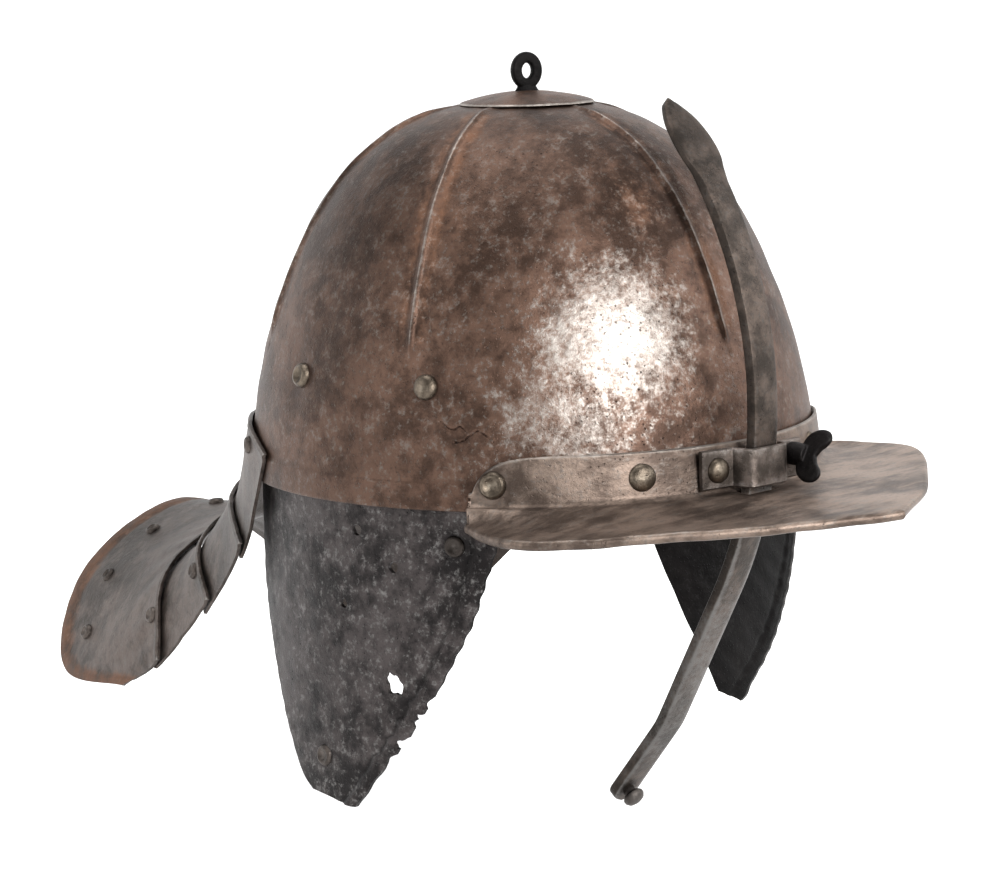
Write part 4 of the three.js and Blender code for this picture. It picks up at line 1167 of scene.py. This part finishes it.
class BuildTail(bpy.types.Operator):
    """Four overlapping lames of the neck guard"""

    bl_idname = "helmet.tail"
    bl_label = "Tail"

    def execute(self, context):
        paint = aged_steel("tail_patina")
        across = np.linspace(-1, 1, 220)
        for lame in range(1, len(TAIL_RINGS) + 1):
            last = lame == len(TAIL_RINGS)
            end = lame if last else lame + TAIL["overlap"]
            along = np.linspace(lame - 1, end, 40)
            point, _ = lame_surface(lame, across, along, 0)
            start_gap = np.linalg.norm(point - point[:1], axis=-1)
            end_gap = np.linalg.norm(point - point[-1:], axis=-1)
            right_gap = np.linalg.norm(point - point[:, :1], axis=-1)
            left_gap = np.linalg.norm(point - point[:, -1:], axis=-1)
            side_gap = np.minimum(right_gap, left_gap)
            bulge = 0.28 * ripple(point, 30, 40 + lame) + 0.14 * ripple(point, 11, 50 + lame)
            bulge = bulge + 0.5 * np.exp(-((start_gap - 1.4) / 1.2) ** 2)
            if last:
                bulge = bulge + 0.6 * smoothstep(end_gap, 7.5, 5.5) - 0.25 * np.exp(-(end_gap - 8.5) ** 2)
                fold = np.exp(-((start_gap - 12) / 9) ** 2) * (np.abs(across) > 0.25)
                bulge = bulge + 0.35 * fold * np.sin(across * 46)
            outer, normal = lame_surface(lame, across, along, TAIL["sheet"])
            outer = outer + normal * bulge[..., None]
            inner, _ = lame_surface(lame, across, along, 0)
            inner = inner + normal * bulge[..., None]
            wear = 0.45 * np.exp(-(start_gap / 0.9) ** 2) + 0.25 * np.exp(-(side_gap / 0.9) ** 2)
            rust = 0.28 * np.exp(-((start_gap - 4) / 3) ** 2)
            # Painted shade in a band just below each lame's upper edge
            painted_dark = 0.5 * np.exp(-(start_gap - 2.4) ** 2)
            if last:
                wear = wear + 0.35 * np.exp(-(end_gap / 1.1) ** 2)
                rust = rust + 0.6 * smoothstep(end_gap, 24, 4)
                # Darker towards the last lame's lower edge
                painted_dark = painted_dark + 0.45 * smoothstep(end_gap, 16, 2)
            loops = np.concatenate([np.swapaxes(outer, 0, 1), np.swapaxes(inner, 0, 1)[:, ::-1]], axis=1)
            wear, rust, painted_dark = wear.T, rust.T, painted_dark.T
            marks = {
                "worn": np.concatenate([wear, wear[:, ::-1] * 0.4], axis=1),
                "rust": np.concatenate([rust, rust * 0 + 0.15], axis=1),
                # Painted shade on the lames' inner faces
                "painted_shade": np.concatenate([painted_dark, rust * 0 + 0.6], axis=1),
            }
            thing = loft(f"neck_lame_{lame}", loops, False, marks, 45)
            dress(thing, paint, HELMET, [f"tail_lame_{lame}"])
        return {"FINISHED"}


class BuildRivets(bpy.types.Operator):
    """Rivet heads, domed or dished"""

    bl_idname = "helmet.rivets"
    bl_label = "Rivets"

    def head(self, node, kind, outline, point, normal, paint):
        radius, height = RIVET[kind]
        shape = np.array(outline, float) * (radius, height)
        wear = np.tile(np.linspace(0.4, 0.1, len(outline)), (RIVET_STEPS, 1))
        thing = lathe(f"{node}_head", shape, RIVET_STEPS, {"worn": wear}, 50)
        thing.data.transform(Matrix.Rotation(0.3 * len(node), 4, "Z"))
        place_on(thing, point, normal)
        dress(thing, paint, HELMET, [node])

    def execute(self, context):
        bright = aged_steel("rivet_steel")
        dull = aged_steel("rivet_dull")
        band_lift = SKULL["border_proud"] + 0.3 + PEAK["sheet"]

        def on_band(turn, height):
            return skull_point(turn, height, band_lift)

        for name, hand in SIDES:
            for number, (angle, z, outline) in enumerate(SIDE_RIVETS, 1):
                point, normal = seat(skull_point, -hand * math.radians(angle), z)
                sunk = point - normal * 0.5
                self.head(f"side_rivet_{name}_{number}", "side", outline, sunk, normal, bright)
            for number, (angle, z, outline) in enumerate(BAND_RIVETS, 1):
                point, normal = seat(on_band, -hand * math.radians(angle), z)
                self.head(f"band_rivet_{name}_{number}", "band", outline, point, normal, bright)
            for number, (y, z) in enumerate(CHEEK_RIVETS, 1):
                shift = LEFT_TIP_SHIFT if hand == LEFT and number == 2 else 0
                point, normal = seat(lambda u, v: cheek_point(hand, u, v), y + shift, z)
                self.head(f"cheek_rivet_{name}_{number}", "cheek", DISH, point, normal, dull)
            for number, (across, along, lame) in enumerate(LAME_RIVETS, 1):
                self.on_lame(f"lame_rivet_{name}_{number}", hand * across, along, lame, dull)
        self.on_lame("lame_rivet_back", *BACK_RIVET, dull)
        (end_x, end_y), (bend_x, bend_y) = STRAP_LINE[:2]
        run = np.array((bend_x - end_x, bend_y - end_y, 0)) / math.hypot(bend_x - end_x, bend_y - end_y)
        normal = np.array((run[1], -run[0], 0))
        x, z = STRAP_RIVET
        y = end_y + (bend_y - end_y) * (x - end_x) / (bend_x - end_x)
        point = np.array((x + BAR["aside"], y, z)) + normal * STRAP["thick"]
        self.head("strap_rivet", "strap", DOME, point, normal, bright)
        return {"FINISHED"}

    def on_lame(self, node, across, along, lame, paint):
        point, normal = lame_surface(lame, across, along, TAIL["sheet"])
        self.head(node, "lame", DISH, point[0, 0], normal[0, 0], paint)


class BuildStage(bpy.types.Operator):
    """Pale floor, soft light and the camera"""

    bl_idname = "helmet.stage"
    bl_label = "Stage"

    def light(self, name, place, size, power):
        lamp = bpy.data.lights.new(name, "AREA")
        lamp.shape = "DISK"
        lamp.size = size
        lamp.energy = power
        thing = bpy.data.objects.new(name, lamp)
        thing.location = place
        thing.rotation_euler = (Vector(LIGHT_AIM) - Vector(place)).to_track_quat("-Z", "Y").to_euler()
        bpy.context.scene.collection.objects.link(thing)

    def execute(self, context):
        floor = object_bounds()[0][2] - sizes().floor_drop
        flat, bend = FLOOR["flat"], FLOOR["bend"]
        outline = [(FLOOR["front"], 0), (flat, 0)]
        for t in np.linspace(0, math.pi / 2, 16)[1:]:
            outline.append((flat + bend * math.sin(t), bend - bend * math.cos(t)))
        outline.append((flat + bend, FLOOR["top"]))
        away = Vector((math.sin(math.radians(CAMERA["turn"])), math.cos(math.radians(CAMERA["turn"])), 0))
        aside = Vector((away.y, -away.x, 0))
        mesh = bpy.data.meshes.new("pale_floor")
        points = []
        for run, rise in outline:
            for side in (-FLOOR["half"], FLOOR["half"]):
                points.append(away * run + aside * side + Vector((0, 0, floor + rise)))
        faces = [(2 * k, 2 * k + 1, 2 * k + 3, 2 * k + 2) for k in range(len(outline) - 1)]
        mesh.from_pydata(points, [], faces)
        mesh.shade_smooth()
        stage = bpy.data.objects.new("pale_floor", mesh)
        mesh.materials.append(pale_floor("pale_floor"))
        bpy.context.scene.collection.objects.link(stage)
        stage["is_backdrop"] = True
        for lamp in LIGHTS:
            self.light(**lamp)
        world = bpy.data.worlds.new("soft_white")
        world.use_nodes = True
        background = world.node_tree.nodes["Background"]
        background.inputs["Color"].default_value = (1, 1, 1, 1)
        background.inputs["Strength"].default_value = WORLD_STRENGTH
        bpy.context.scene.world = world
        bpy.context.scene.view_settings.view_transform = "Standard"
        self.camera()
        return {"FINISHED"}

    def camera(self):
        turn, lift, roll = (math.radians(CAMERA[key]) for key in ("turn", "lift", "roll"))
        back = Vector((-math.sin(turn) * math.cos(lift), -math.cos(turn) * math.cos(lift), math.sin(lift)))
        right = Vector((math.cos(turn), -math.sin(turn), 0))
        up = back.cross(right)
        place = (right * CAMERA["aside"] + up * CAMERA["above"] + back * CAMERA["away"]) * MM
        rolled = right * math.cos(roll) + up * math.sin(roll)
        upright = up * math.cos(roll) - right * math.sin(roll)
        lens = bpy.data.cameras.new("view")
        lens.sensor_fit = "HORIZONTAL"
        lens.sensor_width = LENS_SENSOR
        lens.lens = CAMERA["lens"]
        thing = bpy.data.objects.new("view", lens)
        thing.matrix_world = Matrix((rolled, upright, back)).transposed().to_4x4()
        thing.location = place
        bpy.context.scene.collection.objects.link(thing)
        bpy.context.scene.camera = thing


class HelmetPanel(bpy.types.Panel):
    """Lists the helmet's sizes, colours and steps"""

    bl_idname = "VIEW3D_PT_helmet"
    bl_label = "Helmet"
    bl_space_type = "VIEW_3D"
    bl_region_type = "UI"
    bl_category = "Helmet"

    def draw(self, context):
        for group in (context.scene.helmet_sizes, context.scene.helmet_colours):
            for key in group.__annotations__:
                self.layout.prop(group, key)
        for step in STEPS:
            self.layout.operator(step.bl_idname)


STEPS = (
    BuildSkull, BuildCrown, BuildPeak, BuildNasal, BuildStrap,
    BuildCheeks, BuildTail, BuildRivets, BuildStage,
)
CLASSES = (HelmetSizes, HelmetColours, *STEPS, HelmetPanel)


def register():
    for kind in CLASSES:
        bpy.utils.register_class(kind)
    bpy.types.Scene.helmet_sizes = bpy.props.PointerProperty(type=HelmetSizes)
    bpy.types.Scene.helmet_colours = bpy.props.PointerProperty(type=HelmetColours)


def unregister():
    del bpy.types.Scene.helmet_colours
    del bpy.types.Scene.helmet_sizes
    for kind in reversed(CLASSES):
        bpy.utils.unregister_class(kind)


def main():
    register()
    for step in STEPS:
        getattr(bpy.ops.helmet, step.bl_idname.split(".")[1])()


if __name__ == "__main__":
    main()
